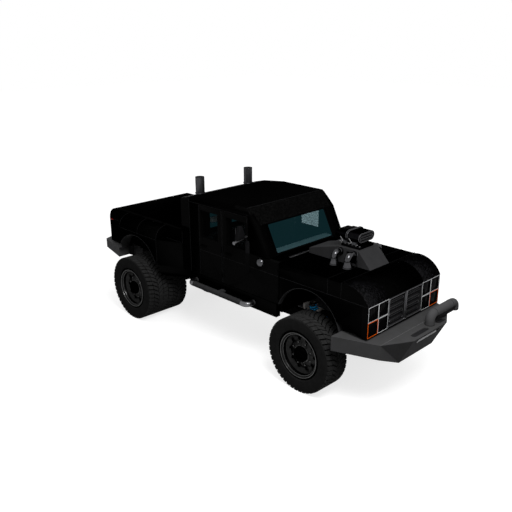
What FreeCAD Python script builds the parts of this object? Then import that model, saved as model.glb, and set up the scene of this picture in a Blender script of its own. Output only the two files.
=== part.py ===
import FreeCAD, Part
import math, os

# A lifted four-door 4x4 pickup truck with twin rear wheels, in millimetres.
# +X is forward, +Y is the truck's left, +Z is up; the origin is on the ground in the middle of its box.

V = FreeCAD.Vector
os.makedirs("parts", exist_ok=True)

# Overall sizes
body_half_width = 1000
frame_half_width = 430
wheelbase = 4375
bumper_reach = 481
rear_bumper_reach = 488
front_axle_to_grille = 1189

# Heights above the ground
sill_z = 1050
rocker_top_z = 1294
bed_bottom_z = 1288
belt_z = 1801
hood_z = 2047
roof_z = 2822
roof_thickness = 100
roof_fall = 60
roof_fall_length = 540
shroud_fall = 62
rail_height = 50
header_drop = 257
window_sill = 10
deck_z = 1255

# Lengths along the truck, from the grille backwards
lamp_depth = 112
nose_curve_length = 512
cowl_back = 1810
glass_foot_back = 245
glass_rake = 258
header_rake = 263
cab_length = 2300
shroud_depth = 256
bed_length = 2565
front_door_length = 1386
rear_door_length = 625

# Walls and gaps
panel = 40
door_thickness = 80
door_gap = 12
seam_gap = 19
clear = 0.3
overrun = 50
bed_wall = 100
bed_rail_thickness = 30
floor_thickness = 50
roof_edge = 36
rear_wall = 60

# Wheels and axles
tyre_radius = 651
tyre_width = 465
rim_radius = 372
scrub = 167
rear_outer_y = 1455
dual_gap = 10
kingpin_out = 370
kingpin_radius = 22
spindle_radius = 60
running_fit = 0.08
axle_tube_radius = 70

kingpin_y = frame_half_width + kingpin_out
front_track_half = kingpin_y + scrub
window_bottom_z = hood_z + window_sill
header_z = roof_z - header_drop
window_top_z = header_z
roof_inner_z = roof_z - roof_thickness
rail_z = roof_inner_z - rail_height
half_length = (bumper_reach + cowl_back + cab_length + shroud_depth + bed_length + rear_bumper_reach) / 2
grille_x = half_length - bumper_reach
front_axle_x = grille_x - front_axle_to_grille
rear_axle_x = front_axle_x - wheelbase
fender_front_x = grille_x - lamp_depth
cowl_x = grille_x - cowl_back
glass_foot_x = cowl_x - glass_foot_back
glass_top_x = glass_foot_x - glass_rake
roof_front_x = glass_top_x - header_rake
cab_rear_x = cowl_x - cab_length
shroud_rear_x = cab_rear_x - shroud_depth
bed_rear_x = shroud_rear_x - bed_length


def block(x0, x1, y0, y1, z0, z1):
    return Part.makeBox(x1 - x0, y1 - y0, z1 - z0, V(x0, y0, z0))


def face_of(points):
    return Part.Face(Part.makePolygon(points + points[:1]))


def side_prism(points, y0, y1):
    return face_of([V(x, y0, z) for x, z in points]).extrude(V(0, y1 - y0, 0))


def plan_prism(points, z0, z1):
    return face_of([V(x, y, z0) for x, y in points]).extrude(V(0, 0, z1 - z0))


def cross_prism(points, x0, x1):
    return face_of([V(x0, y, z) for y, z in points]).extrude(V(x1 - x0, 0, 0))


def rod(start, end, radius):
    return Part.makeCylinder(radius, (end - start).Length, start, end - start)


def ring_y(x, z, y0, y1, outer, inner):
    whole = Part.makeCylinder(outer, y1 - y0, V(x, y0, z), V(0, 1, 0))
    return whole.cut(Part.makeCylinder(inner, y1 - y0, V(x, y0, z), V(0, 1, 0)))


def mirrored(shape):
    return shape.mirror(V(0, 0, 0), V(0, 1, 0))


def both(shape):
    return Part.makeCompound([shape, mirrored(shape)])


def joined_each(shapes):
    return Part.makeCompound([both(shape) for shape in shapes])


def joined(shapes):
    whole = shapes[0].multiFuse(shapes[1:]) if len(shapes) > 1 else shapes[0]
    return whole.removeSplitter()


def pipe(points, radius, bend):
    """A round bar along straight runs joined by tangent arcs of one bend radius."""
    edges = []
    start = points[0]
    for before, corner, after in zip(points, points[1:], points[2:]):
        back = (before - corner).normalize()
        ahead = (after - corner).normalize()
        half_angle = back.getAngle(ahead) / 2
        trim = bend / math.tan(half_angle)
        first = corner + back * trim
        last = corner + ahead * trim
        bisector = (back + ahead).normalize()
        centre = corner + bisector * (bend / math.sin(half_angle))
        middle = centre - bisector * bend
        edges.append(Part.makeLine(start, first))
        edges.append(Part.Arc(first, middle, last).toShape())
        start = last
    edges.append(Part.makeLine(start, points[-1]))
    path = Part.Wire(edges)
    circle = Part.Wire(Part.makeCircle(radius, points[0], points[1] - points[0]))
    return path.makePipeShell([circle], True, False)


def mitred_pipe(points, radius):
    """A round tube along straight runs that meet in mitres."""
    circle = Part.Wire(Part.makeCircle(radius, points[0], points[1] - points[0]))
    return Part.makePolygon(points).makePipeShell([circle], True, False, 1)


def save(name, shape):
    solids = shape.Solids
    if not solids or not all(solid.isValid() and solid.Volume > 0 for solid in solids):
        raise ValueError("unsound shape in " + name)
    whole = solids[0] if len(solids) == 1 else Part.makeCompound(solids)
    whole.exportStep("parts/" + name + ".step")
    print(name, len(solids), round(whole.Volume / 1e6, 1))


# The ladder frame: two box rails, with cross members between them
rail_width = 80
rail_bottom_z = 850
rail_top_z = 1030
rail_front_back = 130
rail_rear_in = 330
cross_width = 110
cross_height = 90
cross_shares = (0.02, 0.2, 0.42, 0.58, 0.76, 0.97)


def frame_rails():
    front = grille_x - rail_front_back
    rear = bed_rear_x + rail_rear_in
    inner = frame_half_width - rail_width
    pieces = [block(rear, front, inner, frame_half_width, rail_bottom_z, rail_top_z)]
    pieces.append(mirrored(pieces[0]))
    middle_z = (rail_bottom_z + rail_top_z) / 2
    for share in cross_shares:
        x = rear + (front - rear) * share
        pieces.append(block(x - cross_width / 2, x + cross_width / 2, -inner, inner,
                            middle_z - cross_height / 2, middle_z + cross_height / 2))
    return joined(pieces)


# Axles: a tube with a round differential housing; the front one ends in forks for the kingpins
diff_radius = 185
diff_half_width = 60
diff_side_half = 150
nose_length = 296
nose_root_radius = 115
nose_tip_radius = 63
front_diff_y = 250
fork_length = 60
fork_reach = 46
fork_gap_half = 110
fork_thickness = 35
fork_back = 95
rear_tube_end_y = 560
rear_flange_radius = 120
rear_flange_width = 40
spindle_length = 260
rear_spindle_end_y = 1290


def differential(x, y):
    profile = [(axle_tube_radius, -diff_side_half), (diff_radius, -diff_half_width), (diff_radius, diff_half_width),
               (axle_tube_radius, diff_side_half), (0, diff_side_half), (0, -diff_side_half)]
    section = face_of([V(x, y + along, tyre_radius + radius) for radius, along in profile])
    housing = section.revolve(V(x, y, tyre_radius), V(0, 1, 0), 360)
    towards = 1 if x < 0 else -1
    nose = Part.makeCone(nose_root_radius, nose_tip_radius, nose_length,
                         V(x, y, tyre_radius), V(towards, 0, 0))
    return housing.fuse(nose)


def front_axle():
    tube = rod(V(front_axle_x, -kingpin_y + fork_back, tyre_radius),
               V(front_axle_x, kingpin_y - fork_back, tyre_radius), axle_tube_radius)
    post = block(front_axle_x - fork_reach, front_axle_x + fork_reach,
                 kingpin_y - fork_back - fork_length / 2, kingpin_y - fork_back + fork_length / 2 - fork_thickness / 2,
                 tyre_radius - fork_gap_half - fork_thickness, tyre_radius + fork_gap_half + fork_thickness)
    arms = []
    for level in (tyre_radius - fork_gap_half - fork_thickness, tyre_radius + fork_gap_half):
        arm = block(front_axle_x - fork_reach, front_axle_x + fork_reach,
                    kingpin_y - fork_back - fork_length / 2, kingpin_y, level, level + fork_thickness)
        eye = Part.makeCylinder(fork_reach, fork_thickness, V(front_axle_x, kingpin_y, level))
        arms += [arm, eye]
    bore = Part.makeCylinder(kingpin_radius + running_fit, 2 * (fork_gap_half + fork_thickness + overrun),
                             V(front_axle_x, kingpin_y, tyre_radius - fork_gap_half - fork_thickness - overrun))
    fork = joined([post] + arms).cut(bore)
    return joined([tube, fork, mirrored(fork), differential(front_axle_x, front_diff_y)])


def rear_axle():
    tube = rod(V(rear_axle_x, -rear_tube_end_y, tyre_radius), V(rear_axle_x, rear_tube_end_y, tyre_radius),
               axle_tube_radius)
    spindle = rod(V(rear_axle_x, rear_tube_end_y, tyre_radius), V(rear_axle_x, rear_spindle_end_y, tyre_radius),
                  spindle_radius)
    flange = Part.makeCylinder(rear_flange_radius, rear_flange_width,
                               V(rear_axle_x, rear_tube_end_y - rear_flange_width, tyre_radius), V(0, 1, 0))
    return joined([tube, spindle, mirrored(spindle), flange, mirrored(flange), differential(rear_axle_x, 0)])


# Knuckles: a hub block on a kingpin, the wheel's spindle and a steering arm; a tie rod joins the arms
knuckle_half_width = 48
knuckle_face_out = 70
knuckle_face_y = kingpin_y + knuckle_face_out
arm_length = 240
arm_thickness = 28
arm_width = 44
tie_rod_radius = 20
tie_rod_end = 24
ball_radius = 16
arm_drop = 62


def knuckle():
    pin_half = fork_gap_half + fork_thickness
    pin = Part.makeCylinder(kingpin_radius, 2 * pin_half, V(front_axle_x, kingpin_y, tyre_radius - pin_half))
    core_half = fork_gap_half - 2 * clear
    core = Part.makeCylinder(knuckle_half_width, 2 * core_half, V(front_axle_x, kingpin_y, tyre_radius - core_half))
    hub = block(front_axle_x - knuckle_half_width, front_axle_x + knuckle_half_width, kingpin_y, knuckle_face_y,
                tyre_radius - core_half, tyre_radius + core_half)
    spindle = rod(V(front_axle_x, kingpin_y, tyre_radius), V(front_axle_x, kingpin_y + spindle_length, tyre_radius),
                  spindle_radius)
    flange = Part.makeCylinder(rear_flange_radius, rear_flange_width,
                               V(front_axle_x, knuckle_face_y - rear_flange_width / 2, tyre_radius), V(0, 1, 0))
    level = tyre_radius - arm_drop - arm_thickness
    end = V(front_axle_x - arm_length, kingpin_y, level)
    arm = block(end.x, front_axle_x, kingpin_y - arm_width / 2, kingpin_y + arm_width / 2,
                level, level + arm_thickness)
    eye = Part.makeCylinder(arm_width / 2, arm_thickness, end)
    bore = Part.makeCylinder(ball_radius + running_fit, arm_thickness + 2 * overrun, end - V(0, 0, overrun))
    return joined([pin, core, hub, spindle, flange, arm.cut(bore), eye.cut(bore)])


def tie_rod():
    """A bar under the steering arms with a pin up through the eye of each."""
    eye_z = tyre_radius - arm_drop - arm_thickness
    bar_z = eye_z - clear - tie_rod_radius
    x = front_axle_x - arm_length
    bar = rod(V(x, -kingpin_y - tie_rod_end, bar_z), V(x, kingpin_y + tie_rod_end, bar_z), tie_rod_radius)
    pin = Part.makeCylinder(ball_radius, eye_z + arm_thickness - bar_z, V(x, kingpin_y, bar_z))
    return joined([bar, pin, mirrored(pin)])


# Tyres and rims
lug_count = 25
bead_sides = 48
lug_share = 0.62
lug_depth = 16
shoulder_drop = 38
shoulder_width = 52
sidewall_bulge = 18
rim_wall = 22
dish_depth = 120
disc_thickness = 28
hub_radius = 118
hub_length = 150
hub_cap_length = 50
hand_holes = 8
hand_hole_radius = 34
hand_hole_pitch_share = 0.66


def lug_ring(x, y, tip, groove):
    """The outline of the tread at one width: a lug at its tip radius, then a groove, all the way round."""
    points = []
    pitch = 2 * math.pi / lug_count
    for index in range(lug_count):
        for radius, first, last in ((tip, 0, lug_share), (groove, lug_share, 1)):
            for share in (first, last):
                angle = pitch * (index + share)
                points.append(V(x + radius * math.sin(angle), y, tyre_radius + radius * math.cos(angle)))
    return Part.makePolygon(points + points[:1])


def tyre(x, inner_y, outer_y):
    """Cross lugs on a carcass: flat tread between two shoulders that fall away towards the sidewalls."""
    groove = tyre_radius - lug_depth
    edge = tyre_radius - shoulder_drop
    widths = ((inner_y, edge, edge - lug_depth), (inner_y + shoulder_width, tyre_radius, groove),
              (outer_y - shoulder_width, tyre_radius, groove), (outer_y, edge, edge - lug_depth))
    rings = [lug_ring(x, y, tip, low) for y, tip, low in widths]
    bands = [Part.makeLoft([first, last], True, True) for first, last in zip(rings, rings[1:])]
    flat_radius = rim_radius / math.cos(math.pi / bead_sides)
    turns = [2 * math.pi * index / bead_sides for index in range(bead_sides)]
    bead = [V(x + flat_radius * math.cos(turn), inner_y, tyre_radius + flat_radius * math.sin(turn)) for turn in turns]
    return joined(bands).cut(face_of(bead).extrude(V(0, outer_y - inner_y, 0)))


def rim(x, inner_y, outer_y, disc_y, bore_from, bore_to):
    """A barrel with a lip at both ends, a disc with hand holes and a hub bored for the spindle."""
    start = inner_y + sidewall_bulge
    end = outer_y - sidewall_bulge
    barrel = ring_y(x, tyre_radius, start, end, rim_radius, rim_radius - rim_wall)
    disc = Part.makeCylinder(rim_radius - rim_wall / 2, disc_thickness, V(x, disc_y, tyre_radius), V(0, 1, 0))
    hub = Part.makeCylinder(hub_radius, bore_to - bore_from, V(x, bore_from, tyre_radius), V(0, 1, 0))
    whole = joined([barrel, disc, hub])
    pitch = rim_radius * hand_hole_pitch_share
    for index in range(hand_holes):
        angle = 2 * math.pi * index / hand_holes
        centre = V(x + pitch * math.cos(angle), disc_y - overrun, tyre_radius + pitch * math.sin(angle))
        whole = whole.cut(Part.makeCylinder(hand_hole_radius, disc_thickness + 2 * overrun, centre, V(0, 1, 0)))
    bore = Part.makeCylinder(spindle_radius + running_fit, bore_to - bore_from + 2 * overrun,
                             V(x, bore_from - overrun, tyre_radius), V(0, 1, 0))
    return whole.cut(bore)


front_outer_y = front_track_half + tyre_width / 2
front_inner_y = front_track_half - tyre_width / 2
rear_seam_y = rear_outer_y - tyre_width
rear_inner_outer_y = rear_seam_y - dual_gap
rear_inner_y = rear_inner_outer_y - tyre_width


def front_rim():
    disc_y = front_outer_y - dish_depth - disc_thickness
    return rim(front_axle_x, front_inner_y, front_outer_y, disc_y, disc_y - hub_length / 2,
               disc_y + disc_thickness + hub_cap_length)


def rear_rims():
    outer_disc_y = rear_outer_y - dish_depth - disc_thickness
    outer = rim(rear_axle_x, rear_seam_y, rear_outer_y, outer_disc_y, rear_inner_outer_y - dish_depth,
                outer_disc_y + disc_thickness + hub_cap_length)
    inner_disc_y = rear_inner_outer_y - dish_depth
    inner = rim(rear_axle_x, rear_inner_y, rear_inner_outer_y, inner_disc_y, inner_disc_y,
                inner_disc_y + hub_length)
    return joined([outer, inner])


# Engine, drive line and springs
engine_length = 760
engine_half_width = 290
engine_bottom_z = 880
engine_top_z = 1900
engine_front_back = 520
gearbox_length = 1700
gearbox_half_width = 170
gearbox_top_z = 1120
drop_box_length = 240
drop_box_bottom_z = 800
drop_box_shaft_z = 900
front_shaft_y = 120
front_shaft_z = 850
shaft_radius = 42
coil_gap = 58
coil_radius = 72
coil_bottom_z = tyre_radius + axle_tube_radius
coil_top_z = 1180
tower_width = 190
tower_thickness = 26
coil_y = frame_half_width + coil_gap + coil_radius
leaf_length = 1350
leaf_width = 70
leaf_count = 4
leaf_thickness = 16
shackle_thickness = 22


def engine_block():
    front = grille_x - engine_front_back
    return block(front - engine_length, front, -engine_half_width, engine_half_width, engine_bottom_z, engine_top_z)


def drive_line():
    """Gearbox on the cross members, the drop box behind them and a propeller shaft to each axle."""
    front = grille_x - engine_front_back - engine_length
    rear = front - gearbox_length
    base = (rail_bottom_z + rail_top_z + cross_height) / 2
    case = block(rear - drop_box_length, front, -gearbox_half_width, gearbox_half_width, base, gearbox_top_z)
    drop_box = block(rear - drop_box_length, rear, -gearbox_half_width, gearbox_half_width,
                     drop_box_bottom_z, gearbox_top_z)
    back = rod(V(rear_axle_x + nose_length + clear, 0, tyre_radius),
               V(rear - drop_box_length + overrun, 0, drop_box_shaft_z), shaft_radius)
    ahead = rod(V(rear - overrun, front_shaft_y, front_shaft_z),
                V(front_axle_x - nose_length - clear, front_diff_y, tyre_radius), shaft_radius)
    shafts = back.fuse(ahead).cut(front_axle()).cut(rear_axle())
    return joined([case, drop_box, shafts])


def front_springs():
    coil = Part.makeCylinder(coil_radius, coil_top_z - coil_bottom_z, V(front_axle_x, coil_y, coil_bottom_z))
    plate = block(front_axle_x - tower_width / 2, front_axle_x + tower_width / 2, frame_half_width,
                  coil_y + coil_radius, coil_top_z, coil_top_z + tower_thickness)
    cheek = block(front_axle_x - tower_width / 2, front_axle_x + tower_width / 2, frame_half_width,
                  frame_half_width + tower_thickness, rail_bottom_z, coil_top_z + tower_thickness)
    return joined([coil, plate, cheek])


def leaf_springs():
    pieces = []
    y0 = frame_half_width - rail_width + (rail_width - leaf_width) / 2
    top = tyre_radius + axle_tube_radius + leaf_thickness * leaf_count
    for index in range(leaf_count):
        half = leaf_length / 2 * (1 - index / (leaf_count + 1))
        z1 = top - leaf_thickness * index
        pieces.append(block(rear_axle_x - half, rear_axle_x + half, y0, y0 + leaf_width, z1 - leaf_thickness, z1))
    for end in (-1, 1):
        x = rear_axle_x + end * (leaf_length / 2 - shackle_thickness)
        pieces.append(block(x - shackle_thickness, x + shackle_thickness, y0, y0 + leaf_width, top, rail_bottom_z))
    return joined(pieces)


# Front end: hood between two fenders, and the nose panel that carries the lamps and the grille
hood_half_width = 487
front_arch_ahead = 9
front_arch_x = front_axle_x + front_arch_ahead
front_arch_z = 1070
front_arch_radius = 680
fender_front_bottom_z = 1284
fender_arch_bottom_z = 1391
nose_plate = 52
nose_lip = 14
lamp_bottom_z = 1296
lamp_top_z = 1792
grille_half_width = 469


def nose_profile(front, top, bottom_points):
    """Side outline of the front: level top, quarter-round nose, then the points given for the bottom."""
    start = V(front - nose_curve_length, 0, top)
    end = V(front, 0, belt_z)
    middle = V(front - nose_curve_length * (1 - math.sin(math.pi / 4)), 0,
               belt_z + (top - belt_z) * math.cos(math.pi / 4))
    edges = [Part.Arc(start, middle, end).toShape()]
    points = [end] + [V(x, 0, z) for x, z in bottom_points] + [start]
    edges += [Part.makeLine(a, b) for a, b in zip(points, points[1:])]
    return Part.Face(Part.Wire(edges))


def front_fender():
    rear = cowl_x + door_gap / 2
    arch_front = front_arch_x + front_arch_radius - overrun
    bottom = [(fender_front_x, belt_z), (fender_front_x, fender_front_bottom_z), (arch_front, fender_arch_bottom_z),
              (rear, fender_arch_bottom_z), (rear, hood_z)]
    outer = nose_profile(grille_x, hood_z, bottom)
    outer.translate(V(0, hood_half_width + clear, 0))
    whole = outer.extrude(V(0, body_half_width - hood_half_width - clear, 0))
    lower_rear = block(rear, front_arch_x, body_half_width - door_thickness, body_half_width, sill_z, fender_arch_bottom_z)
    whole = whole.fuse(lower_rear)
    inner = nose_profile(grille_x - panel, hood_z - panel,
                         [(fender_front_x - panel, belt_z), (fender_front_x - panel, sill_z - overrun),
                          (rear - overrun, sill_z - overrun), (rear - overrun, hood_z - panel)])
    inner.translate(V(0, hood_half_width - overrun, 0))
    hollow = inner.extrude(V(0, body_half_width - door_thickness - hood_half_width + overrun, 0))
    arch = Part.makeCylinder(front_arch_radius, 2 * body_half_width, V(front_arch_x, 0, front_arch_z), V(0, 1, 0))
    leg = block(front_arch_x - front_arch_radius, front_arch_x + front_arch_radius, 0, 2 * body_half_width,
                sill_z - overrun, front_arch_z)
    return joined([whole.cut(hollow).cut(arch).cut(leg)])


def hood():
    rear = cowl_x + door_gap / 2
    outer = nose_profile(grille_x, hood_z, [(rear, belt_z), (rear, hood_z)])
    outer.translate(V(0, -hood_half_width, 0))
    whole = outer.extrude(V(0, 2 * hood_half_width, 0))
    inner = nose_profile(grille_x - panel, hood_z - panel,
                         [(grille_x - panel, belt_z - overrun), (rear - overrun, belt_z - overrun),
                          (rear - overrun, hood_z - panel)])
    inner.translate(V(0, -hood_half_width - overrun, 0))
    return joined([whole.cut(inner.extrude(V(0, 2 * (hood_half_width + overrun), 0)))])


def nose_panel():
    plate = block(fender_front_x, fender_front_x + nose_plate, -body_half_width, body_half_width,
                  fender_front_bottom_z, belt_z)
    rim_block = block(fender_front_x + nose_plate, grille_x, -body_half_width, body_half_width,
                      fender_front_bottom_z, belt_z)
    pocket = block(fender_front_x + nose_plate, grille_x + overrun, -body_half_width + nose_lip,
                   body_half_width - nose_lip, lamp_bottom_z, lamp_top_z)
    return joined([plate, rim_block.cut(pocket)])


arch_trim = 9
arch_trim_width = 96


def front_arch_trim():
    """A lighter strip that lines the edge of the front wheel arch."""
    strip = ring_y(front_arch_x, front_arch_z, body_half_width - arch_trim_width, body_half_width,
                   front_arch_radius, front_arch_radius - arch_trim)
    reach = 2 * front_arch_radius
    above = block(front_arch_x - reach, front_arch_x + reach, 0, 2 * body_half_width, front_arch_z, reach + front_arch_z)
    behind = block(front_arch_x - reach, cowl_x, 0, 2 * body_half_width, 0, reach + front_arch_z)
    nose = block(fender_front_x, front_arch_x + reach, 0, 2 * body_half_width, 0, reach + front_arch_z)
    return strip.common(above).cut(behind).cut(nose)


bezel_width = 11
bezel_depth = 56
glass_set_back = 16
glass_thickness = 12


def lamp_cells():
    """The four square lamps of the left side, as (y0, y1, z0, z1, is_turn_lamp)."""
    outer = body_half_width - nose_lip
    middle_y = (grille_half_width + outer) / 2
    middle_z = (lamp_bottom_z + lamp_top_z) / 2
    cells = []
    for y0, y1 in ((grille_half_width, middle_y), (middle_y, outer)):
        for z0, z1 in ((lamp_bottom_z, middle_z), (middle_z, lamp_top_z)):
            cells.append((y0, y1, z0, z1, y1 == outer and z0 == lamp_bottom_z))
    return cells


def bezels(turn):
    rings = []
    for y0, y1, z0, z1, is_turn in lamp_cells():
        if is_turn != turn:
            continue
        frame = block(grille_x - bezel_depth, grille_x, y0 + clear, y1 - clear, z0 + clear, z1 - clear)
        window = block(grille_x - bezel_depth, grille_x, y0 + bezel_width, y1 - bezel_width,
                       z0 + bezel_width, z1 - bezel_width)
        rings.append(frame.cut(window))
    return Part.makeCompound([piece for ring in rings for piece in (ring, mirrored(ring))])


def lamp_glass():
    panes = []
    front = grille_x - glass_set_back
    for y0, y1, z0, z1, is_turn in lamp_cells():
        pane = block(front - glass_thickness, front, y0 + bezel_width, y1 - bezel_width,
                     z0 + bezel_width, z1 - bezel_width)
        panes += [pane, mirrored(pane)]
    return Part.makeCompound(panes)


grille_frame = 26
grille_back = 12
grille_rib_depth = 34
centre_bar_half = 18
louvres = 4
louvre_height = 46


def grille():
    front = grille_x
    rear = grille_x - bezel_depth
    half = grille_half_width - clear
    low = lamp_bottom_z + clear
    high = lamp_top_z - clear
    back = block(rear, rear + grille_back, -half, half, low, high)
    frame = block(rear, front, -half, half, low, high).cut(
        block(rear, front, -half + grille_frame, half - grille_frame, low + grille_frame, high - grille_frame))
    bar = block(rear, front, -centre_bar_half, centre_bar_half, low, high)
    pieces = [back, frame, bar]
    pitch = (high - low - 2 * grille_frame) / louvres
    for index in range(louvres):
        middle = low + grille_frame + pitch * (index + 1 / 2)
        rib = block(rear, rear + grille_rib_depth, centre_bar_half + grille_frame, half - 2 * grille_frame,
                    middle - louvre_height / 2, middle + louvre_height / 2)
        pieces += [rib, mirrored(rib)]
    return joined(pieces)


# Hood scoop, blower and header pipes
scoop_half_width = 260
scoop_front_back = 525
scoop_front_length = 245
scoop_crest_length = 400
scoop_front_x = grille_x - scoop_front_back
scoop_crest_front_x = scoop_front_x - scoop_front_length
scoop_crest_rear_x = scoop_crest_front_x - scoop_crest_length
scoop_height = 263
scoop_tail_height = 95
scoop_wall = 24
vent_length = 200
vent_height = 190
vent_post = 30
blower_base_height = 45
blower_base_half_width = 190
throat_length = 280
throat_half_width = 110
throat_height = 58
hat_length = 490
hat_height = 156
hat_half_width = 212
hat_front_behind = 45
hat_cap_length = 110
hat_cap_inset = 14
hat_flange_behind = 220
hat_flange_thickness = 26
hat_flange_reach = 13
hat_slot_count = 3
hat_slot_height = 28
hat_slot_half_width = 168
hat_slot_depth = 70
hat_slot_pitch = 44
header_radius = 44
header_foot_radius = 86
header_neck_radius = 50
header_foot_height = 105
header_rise = 196
header_mitre = 62
header_y = 416
header_count = 2
header_pitch = 268
header_first_back = 858


def hood_scoop():
    """A wedge-fronted housing, hollow and open to the hood, with a vent in each side behind its front post."""
    top = hood_z + scoop_height
    tail = cowl_x + door_gap
    outline = [(scoop_front_x, hood_z), (scoop_crest_front_x, top), (scoop_crest_rear_x, top),
               (tail, hood_z + scoop_tail_height), (tail, hood_z)]
    inner = [(scoop_front_x - 2 * scoop_wall, hood_z), (scoop_crest_front_x - scoop_wall, top - scoop_wall),
             (scoop_crest_rear_x, top - scoop_wall), (tail + scoop_wall, hood_z + scoop_tail_height - scoop_wall),
             (tail + scoop_wall, hood_z)]
    hollow_half = scoop_half_width - scoop_wall
    whole = side_prism(outline, -scoop_half_width, scoop_half_width).cut(side_prism(inner, -hollow_half, hollow_half))
    vent_front = scoop_crest_front_x - vent_post
    vent = block(vent_front - vent_length, vent_front, -scoop_half_width - overrun, scoop_half_width + overrun,
                 hood_z + vent_post, hood_z + vent_post + vent_height)
    return whole.cut(vent)


def flat_round(x0, x1, half_width, z0, z1):
    """A bar along X whose section is flat above and below and round at both sides."""
    radius = (z1 - z0) / 2
    side = half_width - radius
    pieces = [block(x0, x1, -side, side, z0, z1)]
    for y in (-side, side):
        pieces.append(Part.makeCylinder(radius, x1 - x0, V(x0, y, z0 + radius), V(1, 0, 0)))
    return joined(pieces)


def blower():
    """A base plate and a throat on the scoop, and the intake hat with its slots to the front."""
    base_z = hood_z + scoop_height
    throat_z = base_z + blower_base_height
    hat_z = throat_z + throat_height
    top_z = hat_z + hat_height
    front = scoop_crest_front_x - hat_front_behind
    base = block(scoop_crest_rear_x, scoop_crest_front_x - vent_post, -blower_base_half_width, blower_base_half_width,
                 base_z, throat_z)
    throat = block(front - hat_flange_behind - throat_length / 2, front - hat_flange_behind + throat_length / 2,
                   -throat_half_width, throat_half_width, throat_z, hat_z)
    hat = flat_round(front - hat_length + hat_cap_length, front, hat_half_width, hat_z, top_z)
    cap = flat_round(front - hat_length, front, hat_half_width - hat_cap_inset, hat_z + hat_cap_inset, top_z - hat_cap_inset)
    flange = flat_round(front - hat_flange_behind - hat_flange_thickness, front - hat_flange_behind,
                        hat_half_width + hat_flange_reach, hat_z - hat_flange_reach, top_z + hat_flange_reach)
    whole = joined([base, throat, hat, cap, flange])
    first = hat_z + (hat_height - hat_slot_height - (hat_slot_count - 1) * hat_slot_pitch) / 2
    for index in range(hat_slot_count):
        low = first + hat_slot_pitch * index
        whole = whole.cut(flat_round(front - hat_slot_depth, front + overrun, hat_slot_half_width, low, low + hat_slot_height))
    return whole


def header_pipes():
    pipes = []
    for index in range(header_count):
        x = grille_x - header_first_back - header_pitch * index
        height = hood_z + header_rise
        route = [V(x, header_y, hood_z), V(x, header_y, height - header_mitre), V(x, header_y - header_mitre, height),
                 V(x, scoop_half_width + clear, height)]
        foot = Part.makeCone(header_foot_radius, header_neck_radius, header_foot_height, V(x, header_y, hood_z))
        pipes.append(joined([mitred_pipe(route, header_radius), foot]))
    return Part.makeCompound([piece for one in pipes for piece in (one, mirrored(one))])


# Bumpers
wing_length = 500
wing_rear_x = grille_x - wing_length
wing_outer_y = 1218
wing_inner_y = 957
wing_corner_ahead = 217
wing_corner_x = grille_x + wing_corner_ahead
wing_corner_y = 954
nose_half_width = 475
nose_bottom_ahead = 250
nose_bottom_x = grille_x + nose_bottom_ahead
nose_bottom_z = 800
wing_bottom_z = 1010
deck_lap = 8
deck_inner_x = fender_front_x - deck_lap
plow_rear_x = grille_x
deck_thickness = 40


def plow(tip_x, corner_x, low_x, back_x, top_z, low_z, wing_z):
    """The faceted middle of a bumper, from its deck down to its low edge."""
    w = wing_corner_y
    n = nose_half_width
    top = [V(corner_x, w, top_z), V(tip_x, n, top_z), V(tip_x, -n, top_z), V(corner_x, -w, top_z)]
    back_top = [V(back_x, w, top_z), V(back_x, -w, top_z)]
    low = [V(corner_x, w, wing_z), V(low_x, n, low_z), V(low_x, -n, low_z), V(corner_x, -w, wing_z)]
    back_low = [V(back_x, w, wing_z), V(back_x, n, low_z), V(back_x, -n, low_z), V(back_x, -w, wing_z)]
    faces = [face_of(top + [back_top[1], back_top[0]]),
             face_of([top[1], low[1], low[2], top[2]]),
             face_of([top[0], low[1], top[1]]), face_of([top[0], low[0], low[1]]),
             face_of([top[3], low[2], top[2]]), face_of([top[3], low[3], low[2]]),
             face_of([back_top[0], top[0], low[0], back_low[0]]),
             face_of([back_top[1], top[3], low[3], back_low[3]]),
             face_of([low[0], low[1], back_low[1], back_low[0]]),
             face_of([low[1], low[2], back_low[2], back_low[1]]),
             face_of([low[2], low[3], back_low[3], back_low[2]]),
             face_of([back_top[0], back_low[0], back_low[1], back_low[2], back_low[3], back_top[1]])]
    solid = Part.Solid(Part.Shell(faces))
    if solid.Volume < 0:
        solid.reverse()
    return solid


light_slot_half = 300
light_slot_drop = 50
light_slot_height = 80
light_slot_depth = 40
light_bar_height = 30
light_bar_set_back = 6
bull_back = 150
bull_x = half_length - bull_back
bull_tube_radius = 74
bull_bend = 104
bull_height = 170
bull_near_y = 205
bull_far_y = 900
bull_far_back = 165
trough_back = 105
trough_half_width = 45
trough_depth = 24
trough_spans = ((-360, 70), (340, 560))


def nose_face_x(z):
    """X of the sloping middle face of the front bumper at a height."""
    return half_length - (deck_z - z) * (half_length - nose_bottom_x) / (deck_z - nose_bottom_z)


def trough(y0, y1):
    """A slot sunk into the deck, along Y, with round ends."""
    x = half_length - trough_back
    low = deck_z - trough_depth
    pieces = [block(x - trough_half_width, x + trough_half_width, y0 + trough_half_width, y1 - trough_half_width,
                    low, deck_z + overrun)]
    for y in (y0 + trough_half_width, y1 - trough_half_width):
        pieces.append(Part.makeCylinder(trough_half_width, trough_depth + overrun, V(x, y, low)))
    return joined(pieces)


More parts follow.
